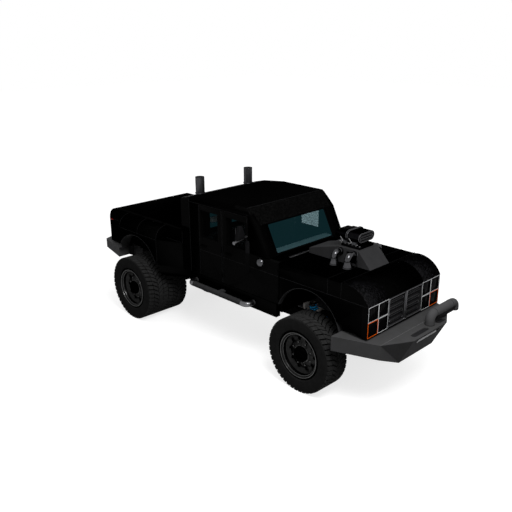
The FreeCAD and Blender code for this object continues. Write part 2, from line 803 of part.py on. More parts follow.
def front_bumper():
    wing = plan_prism([(wing_rear_x, wing_outer_y), (wing_corner_x, wing_corner_y), (plow_rear_x, wing_corner_y),
                       (deck_inner_x, wing_inner_y - bed_wall), (wing_rear_x, wing_inner_y)], wing_bottom_z, deck_z)
    deck = block(deck_inner_x, plow_rear_x, -wing_corner_y, wing_corner_y, deck_z - deck_thickness, deck_z)
    middle = plow(half_length, wing_corner_x, nose_bottom_x, plow_rear_x, deck_z, nose_bottom_z, wing_bottom_z)
    beam = block(grille_x - rail_front_back, plow_rear_x, -frame_half_width, frame_half_width, rail_bottom_z, rail_top_z)
    high = deck_z - light_slot_drop
    low = high - light_slot_height
    slot = block(nose_face_x(low) - light_slot_depth, half_length, -light_slot_half, light_slot_half, low, high)
    whole = joined([wing, mirrored(wing), deck, middle, beam]).cut(slot)
    for y0, y1 in trough_spans:
        whole = whole.cut(trough(y0, y1))
    return whole


def light_bar():
    """A slim lamp that lies on the bottom of the slot in the bumper's middle face."""
    low = deck_z - light_slot_drop - light_slot_height
    face = nose_face_x(low)
    half = light_slot_half - light_bar_set_back
    return block(face - light_slot_depth, face - light_bar_set_back, -half, half, low, low + light_bar_height)


def bull_bar():
    """A bent tube on the deck; its far leg leans back, and both feet are cut level with the deck."""
    height = deck_z + bull_height
    foot = V(bull_x - bull_far_back, bull_far_y, deck_z)
    knee = V(bull_x, bull_far_y, height)
    lower = foot + (foot - knee).normalize() * 2 * bull_tube_radius
    bar = pipe([V(bull_x, bull_near_y, deck_z - overrun), V(bull_x, bull_near_y, height), knee, lower],
               bull_tube_radius, bull_bend)
    reach = 2 * half_length
    return bar.cut(block(-reach, reach, -reach, reach, -reach, deck_z))


rear_wing_front_x = bed_rear_x + wing_length
rear_wing_outer_y = 1145
rear_wing_inner_y = 899
rear_corner_behind = 300
rear_corner_x = bed_rear_x - rear_corner_behind
rear_deck_z = 1250
rear_low_z = 800
rear_wing_bottom_z = 1050
hitch_radius = 16
hitch_depth = 80
hitch_from_end = 110


def rear_bumper():
    back = -half_length
    wing = plan_prism([(rear_wing_front_x, rear_wing_outer_y), (rear_corner_x, wing_corner_y),
                       (bed_rear_x, wing_corner_y), (bed_rear_x, rear_wing_inner_y),
                       (rear_wing_front_x, rear_wing_inner_y)], rear_wing_bottom_z, rear_deck_z)
    middle = plow(-back, -rear_corner_x, -rear_corner_x, -bed_rear_x, rear_deck_z, rear_low_z, rear_wing_bottom_z)
    middle = middle.mirror(V(0, 0, 0), V(1, 0, 0))
    beam = block(bed_rear_x, bed_rear_x + rail_rear_in, -frame_half_width, frame_half_width, rear_low_z, rail_top_z)
    hitch = Part.makeCylinder(hitch_radius, hitch_depth + overrun, V(back + hitch_from_end, 0, rear_deck_z - hitch_depth))
    return joined([wing, mirrored(wing), middle, beam]).cut(hitch)


# Cab
b_pillar_lap = 80
b_pillar_depth = 80
door_clear = 6
door_inner_y = body_half_width - door_thickness
front_door_x1 = cowl_x - door_gap / 2
front_door_x0 = front_door_x1 - front_door_length
rear_door_x1 = front_door_x0 - seam_gap
rear_door_x0 = rear_door_x1 - rear_door_length
rear_hinge_x = rear_door_x1 + door_gap / 2
b_pillar_x0 = rear_door_x1 - b_pillar_lap
b_pillar_x1 = front_door_x0 + b_pillar_lap
b_pillar_y = door_inner_y - door_clear
frame_front_ahead = 36
frame_front_x = roof_front_x + frame_front_ahead
cab_floor_z = 1130
firewall_thickness = 60
cowl_thickness = 40
glass_inset = 241
glass_half_width = body_half_width - glass_inset
windshield_thickness = 14
screen_frame = 70


def slope_x(z):
    """X of the windshield's outer face at a height."""
    return glass_foot_x - (z - hood_z) * glass_rake / (header_z - hood_z)


def cab_shell():
    inner_y = body_half_width - bed_wall
    floor = block(cab_rear_x, cowl_x - firewall_thickness, -inner_y, inner_y, cab_floor_z, cab_floor_z + floor_thickness)
    arch_back = front_arch_x - front_arch_radius
    rocker = block(cab_rear_x, arch_back, inner_y, body_half_width, sill_z, rocker_top_z)
    firewall = block(cowl_x - firewall_thickness, cowl_x, -door_inner_y + door_gap, door_inner_y - door_gap,
                     cab_floor_z, hood_z)
    cowl = block(glass_foot_x - 2 * screen_frame, cowl_x, -door_inner_y + door_gap, door_inner_y - door_gap,
                 hood_z - cowl_thickness, hood_z)
    back = block(cab_rear_x, cab_rear_x + rear_wall, -body_half_width, body_half_width, cab_floor_z, roof_inner_z)
    back = back.cut(block(cab_rear_x - overrun, cab_rear_x + rear_wall + overrun, -rear_window_half, rear_window_half,
                          window_bottom_z, window_top_z))
    c_pillar = block(cab_rear_x, rear_door_x0 - door_gap, door_inner_y, body_half_width, rocker_top_z, roof_inner_z)
    b_pillar = block(b_pillar_x0, b_pillar_x1, b_pillar_y - b_pillar_depth, b_pillar_y, cab_floor_z, roof_inner_z)
    a_rear = frame_front_x + door_gap
    a_outline = [(a_rear, hood_z), (glass_foot_x, hood_z), (slope_x(header_z), header_z), (a_rear, header_z)]
    a_panel = side_prism(a_outline, door_inner_y, body_half_width)
    foot = slope_x(hood_z)
    head = slope_x(header_z)
    screen = [(foot, hood_z), (head, header_z), (head - screen_frame, header_z), (foot - screen_frame, hood_z)]
    a_face = side_prism(screen, glass_half_width, body_half_width)
    rail_outline = [(cab_rear_x, rail_z), (a_rear, rail_z), (a_rear, header_z), (head, header_z),
                    (head - (roof_inner_z - header_z), roof_inner_z), (cab_rear_x, roof_inner_z)]
    rail = side_prism(rail_outline, door_inner_y, body_half_width)
    side = [rocker, c_pillar, b_pillar, a_panel, a_face, rail]
    return joined([floor, firewall, cowl, back] + side + [mirrored(piece) for piece in side])


rear_window_inset = 440
rear_window_half = body_half_width - rear_window_inset
rear_window_glass = 12


def top_section(x, top, bottom):
    """A cross section of the roof or the shroud with both its upper edges bevelled."""
    w = body_half_width
    inset = roof_edge / 2
    points = [(-w, bottom), (w, bottom), (w, top - roof_edge), (w - inset, top), (inset - w, top), (-w, top - roof_edge)]
    corners = [V(x, y, z) for y, z in points]
    return Part.makePolygon(corners + corners[:1])


def roof():
    fall_x = cab_rear_x + roof_fall_length
    inner_front = roof_front_x - panel / 2
    head_x = slope_x(header_z)
    outline = [(fall_x, roof_z), (roof_front_x, roof_z), (head_x, header_z),
               (head_x - roof_edge, header_z), (inner_front, roof_inner_z), (fall_x, roof_inner_z)]
    whole = side_prism(outline, -body_half_width, body_half_width)
    edge = [(body_half_width, roof_z - roof_edge), (body_half_width, roof_z + overrun),
            (body_half_width - roof_edge, roof_z + overrun), (body_half_width - roof_edge / 2, roof_z)]
    bevel = cross_prism(edge, fall_x - overrun, glass_foot_x)
    rear = Part.makeLoft([top_section(cab_rear_x, roof_z - roof_fall, roof_inner_z),
                          top_section(fall_x, roof_z, roof_inner_z)], True, True)
    return joined([whole.cut(bevel).cut(mirrored(bevel)), rear])


def cab_glass():
    low = hood_z + clear
    high = header_z - clear
    offset = screen_frame / 2
    outline = [(slope_x(low) - offset, low), (slope_x(high) - offset, high),
               (slope_x(high) - offset - windshield_thickness, high), (slope_x(low) - offset - windshield_thickness, low)]
    front = side_prism(outline, -glass_half_width, glass_half_width)
    middle = cab_rear_x + rear_wall / 2
    rear = block(middle - rear_window_glass / 2, middle + rear_window_glass / 2, -rear_window_half, rear_window_half,
                 window_bottom_z, window_top_z)
    return Part.makeCompound([front, rear])


dash_depth = 380
dash_bottom_z = 1680
dash_top_z = 1960
seat_half_width = 250
seat_inset = 560
seat_y = body_half_width - seat_inset
seat_depth = 520
seat_cushion = 180
seat_base_z = 1560
seat_back_height = 700
seat_back_thickness = 150
front_seat_ahead = 100
rear_seat_ahead = 110
front_seat_x = front_door_x0 + front_seat_ahead
rear_seat_x = cab_rear_x + rear_seat_ahead


def seat(x, y0, y1):
    floor_top = cab_floor_z + floor_thickness
    base = block(x + overrun, x + seat_depth - overrun, y0 + overrun, y1 - overrun, floor_top, seat_base_z)
    cushion = block(x, x + seat_depth, y0, y1, seat_base_z, seat_base_z + seat_cushion)
    back = block(x, x + seat_back_thickness, y0, y1, seat_base_z + seat_cushion,
                 seat_base_z + seat_cushion + seat_back_height)
    return joined([base, cushion, back])


def seats():
    left = seat(front_seat_x, seat_y - seat_half_width, seat_y + seat_half_width)
    bench = seat(rear_seat_x, -seat_y - seat_half_width, seat_y + seat_half_width)
    return Part.makeCompound([left, mirrored(left), bench])


wheel_hand_radius = 200
wheel_hand_width = 30
wheel_hand_depth = 26
wheel_hub_radius = 48
wheel_spoke_width = 40
column_radius = 26
column_length = 150
column_tube_radius = 38
column_tube_length = 55
steering_tilt = 25


def steering_frame():
    """Where the column leaves the dash, and the direction of its axis, pointing at the driver."""
    angle = math.radians(steering_tilt)
    direction = V(-math.cos(angle), 0, math.sin(angle))
    base = V(cowl_x - firewall_thickness - dash_depth + overrun / 2, seat_y, dash_bottom_z + overrun * 2)
    return base, direction


def dashboard():
    front = cowl_x - firewall_thickness
    outline = [(front, dash_bottom_z), (front, dash_top_z), (front - dash_depth + overrun, dash_top_z),
               (front - dash_depth, dash_top_z - overrun), (front - dash_depth + overrun, dash_bottom_z)]
    width = door_inner_y - 2 * door_gap
    base, direction = steering_frame()
    tube = rod(base - direction * column_tube_length, base + direction * column_tube_length, column_tube_radius)
    return joined([side_prism(outline, -width, width), tube])


def steering_wheel():
    """A flat-sided hand wheel on its column, which starts just clear of the dash's column tube."""
    base, direction = steering_frame()
    start = base + direction * (column_tube_length + clear)
    centre = base + direction * column_length
    hoop = Part.makeCylinder(wheel_hand_radius + wheel_hand_width / 2, wheel_hand_depth, centre, direction)
    hoop = hoop.cut(Part.makeCylinder(wheel_hand_radius - wheel_hand_width / 2, wheel_hand_depth, centre, direction))
    column = Part.makeCylinder(column_radius, column_length - column_tube_length, start, direction)
    hub = Part.makeCylinder(wheel_hub_radius, wheel_hand_depth, centre, direction)
    spoke = block(-wheel_spoke_width / 2, wheel_spoke_width / 2, -wheel_hand_radius, wheel_hand_radius, 0, wheel_hand_depth)
    spoke.Placement = FreeCAD.Placement(centre, FreeCAD.Rotation(V(0, 0, 1), direction))
    return joined([hoop, column, hub, spoke])


# Doors
window_frame_margin = 40
glass_recess = 34
side_glass = 10
hinge_offset = 12
hinge_radius = 11
hinge_pin = 6
hinge_leaf = 46
hinge_leaf_thickness = 5
hinge_height = 44
hinge_plate_back = 1
hinge_low_z = 1420
hinge_high_z = 1900
front_window_back = 24
window_post_width = 105
front_window_x1 = roof_front_x - front_window_back
rear_window_x0 = rear_door_x0 + window_frame_margin
rear_window_x1 = rear_door_x1 - window_post_width
front_window_x0 = front_door_x0 + window_post_width
post_radius = 45
post_ahead = 33
post_x = roof_front_x + post_ahead
post_low_z = 1690
post_high_z = 2050


def door_knuckle(x, z):
    """The door's half of a lift-off hinge: a bored barrel above the body's, with its leaf on the door."""
    y = body_half_width + hinge_offset
    low = z + hinge_height + clear
    high = low + hinge_height
    barrel = Part.makeCylinder(hinge_radius, hinge_height, V(x, y, low))
    leaf = block(x - hinge_leaf, x - door_gap / 2, body_half_width, body_half_width + hinge_leaf_thickness, low, high)
    web = block(x - hinge_radius, x - door_gap / 2, body_half_width, y, low, high)
    bore = Part.makeCylinder(hinge_pin + running_fit, hinge_height + 2 * overrun, V(x, y, low - overrun))
    return joined([barrel, leaf, web]).cut(bore)


def hinge_post(x, z):
    """The body's half of a lift-off hinge: a barrel with the pin that stands in the door's half."""
    y = body_half_width + hinge_offset
    barrel = Part.makeCylinder(hinge_radius, hinge_height, V(x, y, z))
    pin = Part.makeCylinder(hinge_pin, 2 * hinge_height, V(x, y, z))
    return joined([barrel, pin])


def fender_hinges():
    pieces = []
    for z in (hinge_low_z, hinge_high_z):
        leaf = block(cowl_x, cowl_x + hinge_leaf, body_half_width, body_half_width + hinge_leaf_thickness,
                     z, z + hinge_height)
        web = block(cowl_x, cowl_x + hinge_radius, body_half_width, body_half_width + hinge_offset, z, z + hinge_height)
        pieces += [hinge_post(cowl_x, z), leaf, web]
    return pieces


def pillar_hinges():
    """Hinge posts on plates that come out through the seam between the two doors."""
    pieces = []
    for z in (hinge_low_z, hinge_high_z):
        plate = block(rear_hinge_x - hinge_plate_back, rear_hinge_x - hinge_plate_back + hinge_leaf_thickness,
                      b_pillar_y, body_half_width + hinge_offset, z, z + hinge_height)
        pieces += [hinge_post(rear_hinge_x, z), plate]
    return pieces


def front_door():
    bottom = rocker_top_z + door_gap
    top = rail_z - door_gap
    outline = [(front_door_x0, bottom), (front_door_x1, bottom), (front_door_x1, hood_z - door_gap),
               (frame_front_x, hood_z - door_gap), (frame_front_x, top), (front_door_x0, top)]
    slab = side_prism(outline, door_inner_y, body_half_width)
    window = block(front_window_x0, front_window_x1, door_inner_y - overrun, body_half_width + overrun,
                   window_bottom_z, window_top_z)
    post = Part.makeCylinder(post_radius, post_high_z - post_low_z, V(post_x, body_half_width, post_low_z))
    post = post.cut(block(post_x - overrun, post_x + overrun, 0, body_half_width, post_low_z, post_high_z))
    return joined([slab.cut(window), post] + [door_knuckle(cowl_x, z) for z in (hinge_low_z, hinge_high_z)])


def rear_door():
    slab = block(rear_door_x0, rear_door_x1, door_inner_y, body_half_width, rocker_top_z + door_gap, rail_z - door_gap)
    window = block(rear_window_x0, rear_window_x1, door_inner_y - overrun, body_half_width + overrun,
                   window_bottom_z, window_top_z)
    return joined([slab.cut(window)] + [door_knuckle(rear_hinge_x, z) for z in (hinge_low_z, hinge_high_z)])


def pane(x0, x1):
    y = door_inner_y + glass_recess
    return block(x0, x1, y, y + side_glass, window_bottom_z, window_top_z)


mirror_arm_z = 2320
mirror_arm_radius = 32
mirror_reach = 310
mirror_drop = 50
mirror_head_height = 220
mirror_head_depth = 95
mirror_head_inner = 60
mirror_head_outer = 250
mirror_base = 30
dome_ahead = 356
dome_x = roof_front_x + dome_ahead
dome_z = 1952
dome_radius = 80


def mirror_set():
    foot_x = frame_front_x - mirror_base
    y = body_half_width
    arm = rod(V(foot_x, y + clear, mirror_arm_z), V(foot_x, y + mirror_reach, mirror_arm_z - mirror_drop), mirror_arm_radius)
    arm = arm.cut(block(foot_x - overrun, foot_x + overrun, 0, y, mirror_arm_z - overrun, mirror_arm_z + overrun))
    low = mirror_arm_z
    head = cross_prism([(y + mirror_head_inner, low), (y + mirror_head_outer, low - mirror_drop / 2),
                        (y + mirror_head_outer - mirror_head_inner, low + mirror_head_height),
                        (y + 2 * mirror_head_inner, low + mirror_head_height)],
                       foot_x - mirror_head_depth / 2, foot_x + mirror_head_depth / 2)
    return joined([arm, head])


def door_lamp():
    ball = Part.makeSphere(dome_radius, V(dome_x, body_half_width, dome_z))
    return ball.cut(block(dome_x - 2 * dome_radius, dome_x + 2 * dome_radius, 0, body_half_width,
                          dome_z - 2 * dome_radius, dome_z + 2 * dome_radius))


# Behind the cab: the shroud round the exhaust stacks
shroud_drop = 405
shroud_bottom_z = header_z - shroud_drop
stack_behind = 122
stack_x = cab_rear_x - stack_behind
stack_inset = 374
stack_y = body_half_width - stack_inset
stack_radius = 86
stack_wall = 5
stack_top_z = 3059
stack_bracket_height = 60
stack_bracket_z = 1900
shroud_window_inset = 580
shroud_window_half = body_half_width - shroud_window_inset


def stack_shroud():
    inner = Part.makeCompound([Part.makeCylinder(stack_radius + clear, roof_z, V(stack_x, sign * stack_y, 0))
                               for sign in (-1, 1)])
    rear_top = roof_z - roof_fall - shroud_fall
    whole = Part.makeLoft([top_section(shroud_rear_x, rear_top, shroud_bottom_z),
                           top_section(cab_rear_x, roof_z - roof_fall, shroud_bottom_z)], True, True)
    window = block(shroud_rear_x - overrun, cab_rear_x + overrun, -shroud_window_half, shroud_window_half,
                   shroud_bottom_z + panel, window_top_z)
    return whole.cut(inner).cut(window)


def exhaust_stack():
    """A stack that stands on the side tank and is held to the cab's rear wall by a bracket."""
    bottom = bed_bottom_z
    pipe_length = stack_top_z - bottom
    outer = Part.makeCylinder(stack_radius, pipe_length, V(stack_x, stack_y, bottom))
    bracket = block(stack_x, cab_rear_x - clear, stack_y - stack_radius / 2, stack_y + stack_radius / 2,
                    stack_bracket_z, stack_bracket_z + stack_bracket_height)
    bore = Part.makeCylinder(stack_radius - stack_wall, pipe_length, V(stack_x, stack_y, bottom + stack_wall))
    return joined([outer, bracket]).cut(bore)


# Bed
bed_floor_z = 1420
bed_floor_thickness = 60
bed_front_wall = 54
bed_round = 256
tailgate_thickness = 241
rear_arch_behind = 36
rear_arch_x = rear_axle_x - rear_arch_behind
rear_arch_z = 1020
rear_arch_radius = 720
bulge_reach = 256
bulge_y = body_half_width + bulge_reach
bulge_rear_ahead = 771
bulge_rear_foot_ahead = 515
rail_rise = 10
bed_top_z = hood_z + rail_rise
wedge_length = 513
bulge_front_x = shroud_rear_x - wedge_length
bulge_rear_x = bed_rear_x + bulge_rear_ahead
bulge_rear_foot_x = bed_rear_x + bulge_rear_foot_ahead


def bed_side_outline():
    """Side outline of the bed with its rounded upper rear corner, from its front to its rear end."""
    front = cab_rear_x - door_gap
    corner = V(bed_rear_x, 0, bed_top_z - bed_round)
    top = V(bed_rear_x + bed_round, 0, bed_top_z)
    centre = V(top.x, 0, corner.z)
    middle = centre + V(-math.sin(math.pi / 4), 0, math.cos(math.pi / 4)) * bed_round
    points = [top, V(front, 0, top.z), V(front, 0, bed_bottom_z), V(bed_rear_x, 0, bed_bottom_z), corner]
    edges = [Part.makeLine(a, b) for a, b in zip(points, points[1:])]
    edges.append(Part.Arc(corner, middle, top).toShape())
    return Part.Face(Part.Wire(edges)), top.z


def bed_box():
    outline, top = bed_side_outline()
    outline.translate(V(0, body_half_width - bed_wall, 0))
    wall = outline.extrude(V(0, bed_wall, 0))
    inner = body_half_width - bed_wall
    arch = Part.makeCylinder(rear_arch_radius, bed_wall - bed_rail_thickness,
                             V(rear_arch_x, inner + bed_rail_thickness, rear_arch_z), V(0, 1, 0))
    deep_arch = Part.makeCylinder(rear_arch_radius, bed_wall, V(rear_arch_x, inner, rear_arch_z), V(0, 1, 0))
    below = block(bed_rear_x, cab_rear_x, inner, body_half_width, sill_z, bed_floor_z - bed_floor_thickness)
    arch = arch.fuse(deep_arch.common(below))
    x, z = gate_axis()
    socket = Part.makeCylinder(gate_pin_radius + running_fit, gate_pin_length + clear, V(x, inner, z), V(0, 1, 0))
    wall = wall.cut(arch).cut(socket)
    floor = block(bed_rear_x + tailgate_thickness + door_gap, shroud_rear_x, -inner, inner,
                  bed_floor_z - bed_floor_thickness, bed_floor_z)
    front = block(shroud_rear_x - bed_front_wall, shroud_rear_x, -inner, inner, bed_floor_z, top)
    sill = block(bed_rear_x + tailgate_thickness + door_gap, shroud_rear_x, -frame_half_width, frame_half_width,
                 rail_top_z, bed_floor_z - bed_floor_thickness)
    hollow = block(bed_rear_x, shroud_rear_x, -frame_half_width + rail_width, frame_half_width - rail_width,
                   rail_top_z, bed_floor_z - bed_floor_thickness)
    return joined([wall, mirrored(wall), floor, front, sill.cut(hollow)])


def fender_outer():
    """The rear fender as a full block: a wedge in front, a slope behind and a quarter-round crown."""
    y0 = body_half_width + clear
    plan = [(shroud_rear_x, y0), (bulge_front_x, bulge_y), (bulge_rear_x, bulge_y), (bulge_rear_foot_x, y0)]
    lower = plan_prism(plan, bed_bottom_z, belt_z)
    bow = Part.makeCylinder(bulge_y - y0, bulge_front_x - bulge_rear_x, V(bulge_rear_x, y0, belt_z), V(1, 0, 0))
    return lower.fuse(bow.common(block(bulge_rear_x, bulge_front_x, y0, bulge_y, belt_z, 2 * belt_z)))


def rear_fender():
    y0 = body_half_width + clear
    inner_plan = [(shroud_rear_x - 2 * panel, y0), (bulge_front_x - panel / 2, bulge_y - panel),
                  (bulge_rear_x + panel / 2, bulge_y - panel), (bulge_rear_foot_x + 2 * panel, y0)]
    hollow = plan_prism(inner_plan, bed_bottom_z, belt_z - panel)
    arch = Part.makeCylinder(rear_arch_radius, bulge_y, V(rear_arch_x, 0, rear_arch_z), V(0, 1, 0))
    return joined([fender_outer().cut(hollow).cut(arch)])


def rear_arch_trim():
    """The same strip in the rear fender's arch, cut to the fender's outer shape."""
    strip = ring_y(rear_arch_x, rear_arch_z, body_half_width + clear, bulge_y, rear_arch_radius, rear_arch_radius - arch_trim)
    return strip.common(fender_outer())


def gate_axis():
    return bed_rear_x + gate_pin_inset, bed_bottom_z + door_gap + gate_pin_inset


def tailgate():
    outline, top = bed_side_outline()
    half = body_half_width - bed_wall - door_gap
    outline.translate(V(0, -half, 0))
    whole = outline.extrude(V(0, 2 * half, 0))
    keep = block(bed_rear_x, bed_rear_x + tailgate_thickness, -half, half, bed_bottom_z + door_gap, top)
    reach = half + door_gap + gate_pin_length
    x, z = gate_axis()
    return joined([whole.common(keep), rod(V(x, -reach, z), V(x, reach, z), gate_pin_radius)])


gate_pin_radius = 14
gate_pin_length = 40
gate_pin_inset = 30
tail_lamp_width = 70
tail_lamp_z0 = 1480
tail_lamp_z1 = 1760
tail_lamp_depth = 22


def tail_lamp():
    y = body_half_width - (bed_wall + tail_lamp_width) / 2
    return block(bed_rear_x - tail_lamp_depth, bed_rear_x, y, y + tail_lamp_width, tail_lamp_z0, tail_lamp_z1)


tank_rear_ahead = 40
tank_front_behind = 20
tank_rear_x = bulge_front_x + tank_rear_ahead
tank_front_x = cab_rear_x - tank_front_behind
tank_bottom_z = 1062
tank_round = 110
tank_inner_y = frame_half_width
edge_tolerance = 0.5


def side_tank():
    plan = [(tank_front_x, body_half_width), (shroud_rear_x, body_half_width), (tank_rear_x, bulge_y - 2 * door_gap),
            (tank_rear_x, tank_inner_y), (tank_front_x, tank_inner_y)]
    body = plan_prism(plan, tank_bottom_z, bed_bottom_z - clear)
    edges = [edge for edge in body.Edges
             if all(abs(vertex.Z - tank_bottom_z) < edge_tolerance for vertex in edge.Vertexes)
             and min(vertex.Y for vertex in edge.Vertexes) > tank_inner_y + edge_tolerance]
    return body.makeFillet(tank_round, edges)


step_reach = 165
step_y = body_half_width + step_reach
step_z = 1160
step_radius = 50
step_rear_ahead = 150
step_front_behind = 600
step_rear_x = cab_rear_x + step_rear_ahead
step_front_x = cowl_x - step_front_behind
step_bend = 90
step_foot = 46


def step_bar():
    y = body_half_width + clear
    bar = pipe([V(step_rear_x, y, step_z), V(step_rear_x, step_y, step_z), V(step_front_x, step_y, step_z),
                V(step_front_x, y, step_z)], step_radius, step_bend)
    middle = (step_rear_x + step_front_x) / 2
    bracket = block(middle - step_foot, middle + step_foot, y, step_y, step_z - step_foot / 2, step_z + step_foot / 2)
    return joined([bar, bracket])


def build():
    fender = front_fender()
    save("frame_rails", frame_rails())
    save("front_axle", front_axle())
    save("rear_axle", rear_axle())
    save("front_springs", both(front_springs()))
    save("leaf_springs", both(leaf_springs()))
    save("drive_line", drive_line())
    save("engine_block", engine_block())
    save("blower", blower())
    save("header_pipes", header_pipes())
    save("hood_scoop", hood_scoop())
    save("hood", hood())
    save("front_fenders", both(joined([fender] + fender_hinges())))
    save("arch_trims", joined_each([front_arch_trim(), rear_arch_trim()]))
    save("nose_panel", nose_panel())
    save("grille", grille())
    save("lamp_bezels", bezels(False))
    save("turn_lamp_bezels", bezels(True))
    save("lamp_glass", lamp_glass())
    save("front_bumper", front_bumper())
    save("light_bar", light_bar())
    save("bull_bar", bull_bar())
    hinges = pillar_hinges()
    shell = joined([cab_shell()] + hinges + [mirrored(piece) for piece in hinges])
    save("cab_shell", shell)
    save("roof", roof().cut(shell))
    save("cab_glass", cab_glass())
    save("dashboard", dashboard())
    save("seats", seats())
    save("stack_shroud", stack_shroud())
    save("exhaust_stacks", both(exhaust_stack()))
    save("bed_box", bed_box())
    save("rear_fenders", both(rear_fender()))
    save("rear_bumper", rear_bumper())
    save("side_tanks", both(side_tank()))
    save("step_bars", both(step_bar()))
    save("tail_lamps", both(tail_lamp()))
    save("tailgate", tailgate())
    save("steering_wheel", steering_wheel())
    save("tie_rod", tie_rod())
    left = {
        "door_front": front_door(),
        "door_rear": rear_door(),
        "glass_front": pane(front_window_x0, front_window_x1),
        "glass_rear": pane(rear_window_x0, rear_window_x1),
        "mirror": Part.makeCompound([mirror_set(), door_lamp()]),
        "knuckle": knuckle(),
        "tyre_front": tyre(front_axle_x, front_inner_y, front_outer_y),
        "rim_front": front_rim(),
        "tyres_rear": Part.makeCompound([tyre(rear_axle_x, rear_inner_y, rear_inner_outer_y),
                                         tyre(rear_axle_x, rear_seam_y, rear_outer_y)]),
        "rims_rear": rear_rims(),
    }
    for name, shape in left.items():
        save(name + "_left", shape)
        save(name + "_right", mirrored(shape))


build()
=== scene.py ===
import math
import bmesh
import bpy
import numpy as np
from mathutils import Matrix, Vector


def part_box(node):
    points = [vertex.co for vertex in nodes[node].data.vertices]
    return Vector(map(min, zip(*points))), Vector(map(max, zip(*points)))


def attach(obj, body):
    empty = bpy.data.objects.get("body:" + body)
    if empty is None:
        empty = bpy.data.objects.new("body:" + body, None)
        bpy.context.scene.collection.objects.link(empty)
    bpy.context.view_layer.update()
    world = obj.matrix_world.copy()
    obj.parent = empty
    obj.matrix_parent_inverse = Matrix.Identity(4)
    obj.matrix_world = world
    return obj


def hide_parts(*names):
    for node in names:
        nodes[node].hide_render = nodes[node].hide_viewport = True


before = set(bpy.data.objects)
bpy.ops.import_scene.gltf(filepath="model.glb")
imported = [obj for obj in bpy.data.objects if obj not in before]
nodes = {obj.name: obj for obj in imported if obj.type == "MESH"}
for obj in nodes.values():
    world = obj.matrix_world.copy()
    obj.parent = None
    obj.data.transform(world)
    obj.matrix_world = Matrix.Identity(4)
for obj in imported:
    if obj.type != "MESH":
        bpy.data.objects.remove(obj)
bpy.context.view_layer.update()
scene = bpy.context.scene
sides = {"left": 1, "right": -1}
axes = np.eye(3)
alongX, alongY, alongZ = axes
acrossAxes = {0: [1, 2], 1: [0, 2], 2: [0, 1]}
print("stage: frame loaded,", len(nodes), "nodes")


# Colour and shader nodes

def hexToLinear(text):
    # sRGB to linear for each channel: c / 12.92 up to 0.04045, else ((c + 0.055) / 1.055) ^ 2.4
    channels = np.array([int(text[i:i + 2], 16) for i in (1, 3, 5)]) / 255
    linear = np.where(channels <= 0.04045, channels / 12.92, ((channels + 0.055) / 1.055) ** 2.4)
    return (*linear.tolist(), 1.0)


def addNode(tree, kind, settings=None, links=None, out=0):
    # settings go to the node's own properties or its sockets' values, links join a source to each named
    # socket, and the chosen output comes back
    node = tree.nodes.new(kind)
    for key, value in (settings or {}).items():
        if isinstance(key, str) and hasattr(node, key):
            setattr(node, key, value)
        else:
            node.inputs[key].default_value = value
    for key, source in (links or {}).items():
        tree.links.new(source, node.inputs[key])
    return node.outputs[out] if node.outputs else None


def emptyTree(owner):
    # the node tree of a material or world, with its first nodes cleared away
    owner.use_nodes = True
    owner.node_tree.nodes.clear()
    return owner.node_tree


# Materials: each is named for the real one and how its surface was made

def crackleMask(tree, place, crackle):
    # stretched noise cut to flecks, on faces ahead of fromX whose normal's z is between low and high
    stretched = addNode(tree, "ShaderNodeMapping", {"Scale": crackle["stretch"]}, {"Vector": place})
    fleck = {"Scale": 1000 / crackle["fleckMm"], "Detail": 5.0, "Roughness": 0.72}
    noise = addNode(tree, "ShaderNodeTexNoise", fleck, {"Vector": stretched})
    x = addNode(tree, "ShaderNodeSeparateXYZ", links={"Vector": place}, out="X")
    normal = addNode(tree, "ShaderNodeNewGeometry", out="Normal")
    lean = addNode(tree, "ShaderNodeSeparateXYZ", links={"Vector": normal}, out="Z")
    mask = addNode(tree, "ShaderNodeMapRange", {"From Min": 0.44, "From Max": 0.70}, {"Value": noise})
    fadeIn = {"From Min": crackle["fromX"], "From Max": crackle["fromX"] + 0.02}
    ahead = addNode(tree, "ShaderNodeMapRange", fadeIn, {"Value": x})
    steep = addNode(tree, "ShaderNodeMath", {"operation": "GREATER_THAN", 1: crackle["low"]}, {0: lean})
    shallow = addNode(tree, "ShaderNodeMath", {"operation": "LESS_THAN", 1: crackle["high"]}, {0: lean})
    for factor in (ahead, steep, shallow):
        mask = addNode(tree, "ShaderNodeMath", {"operation": "MULTIPLY"}, {0: mask, 1: factor})
    return mask


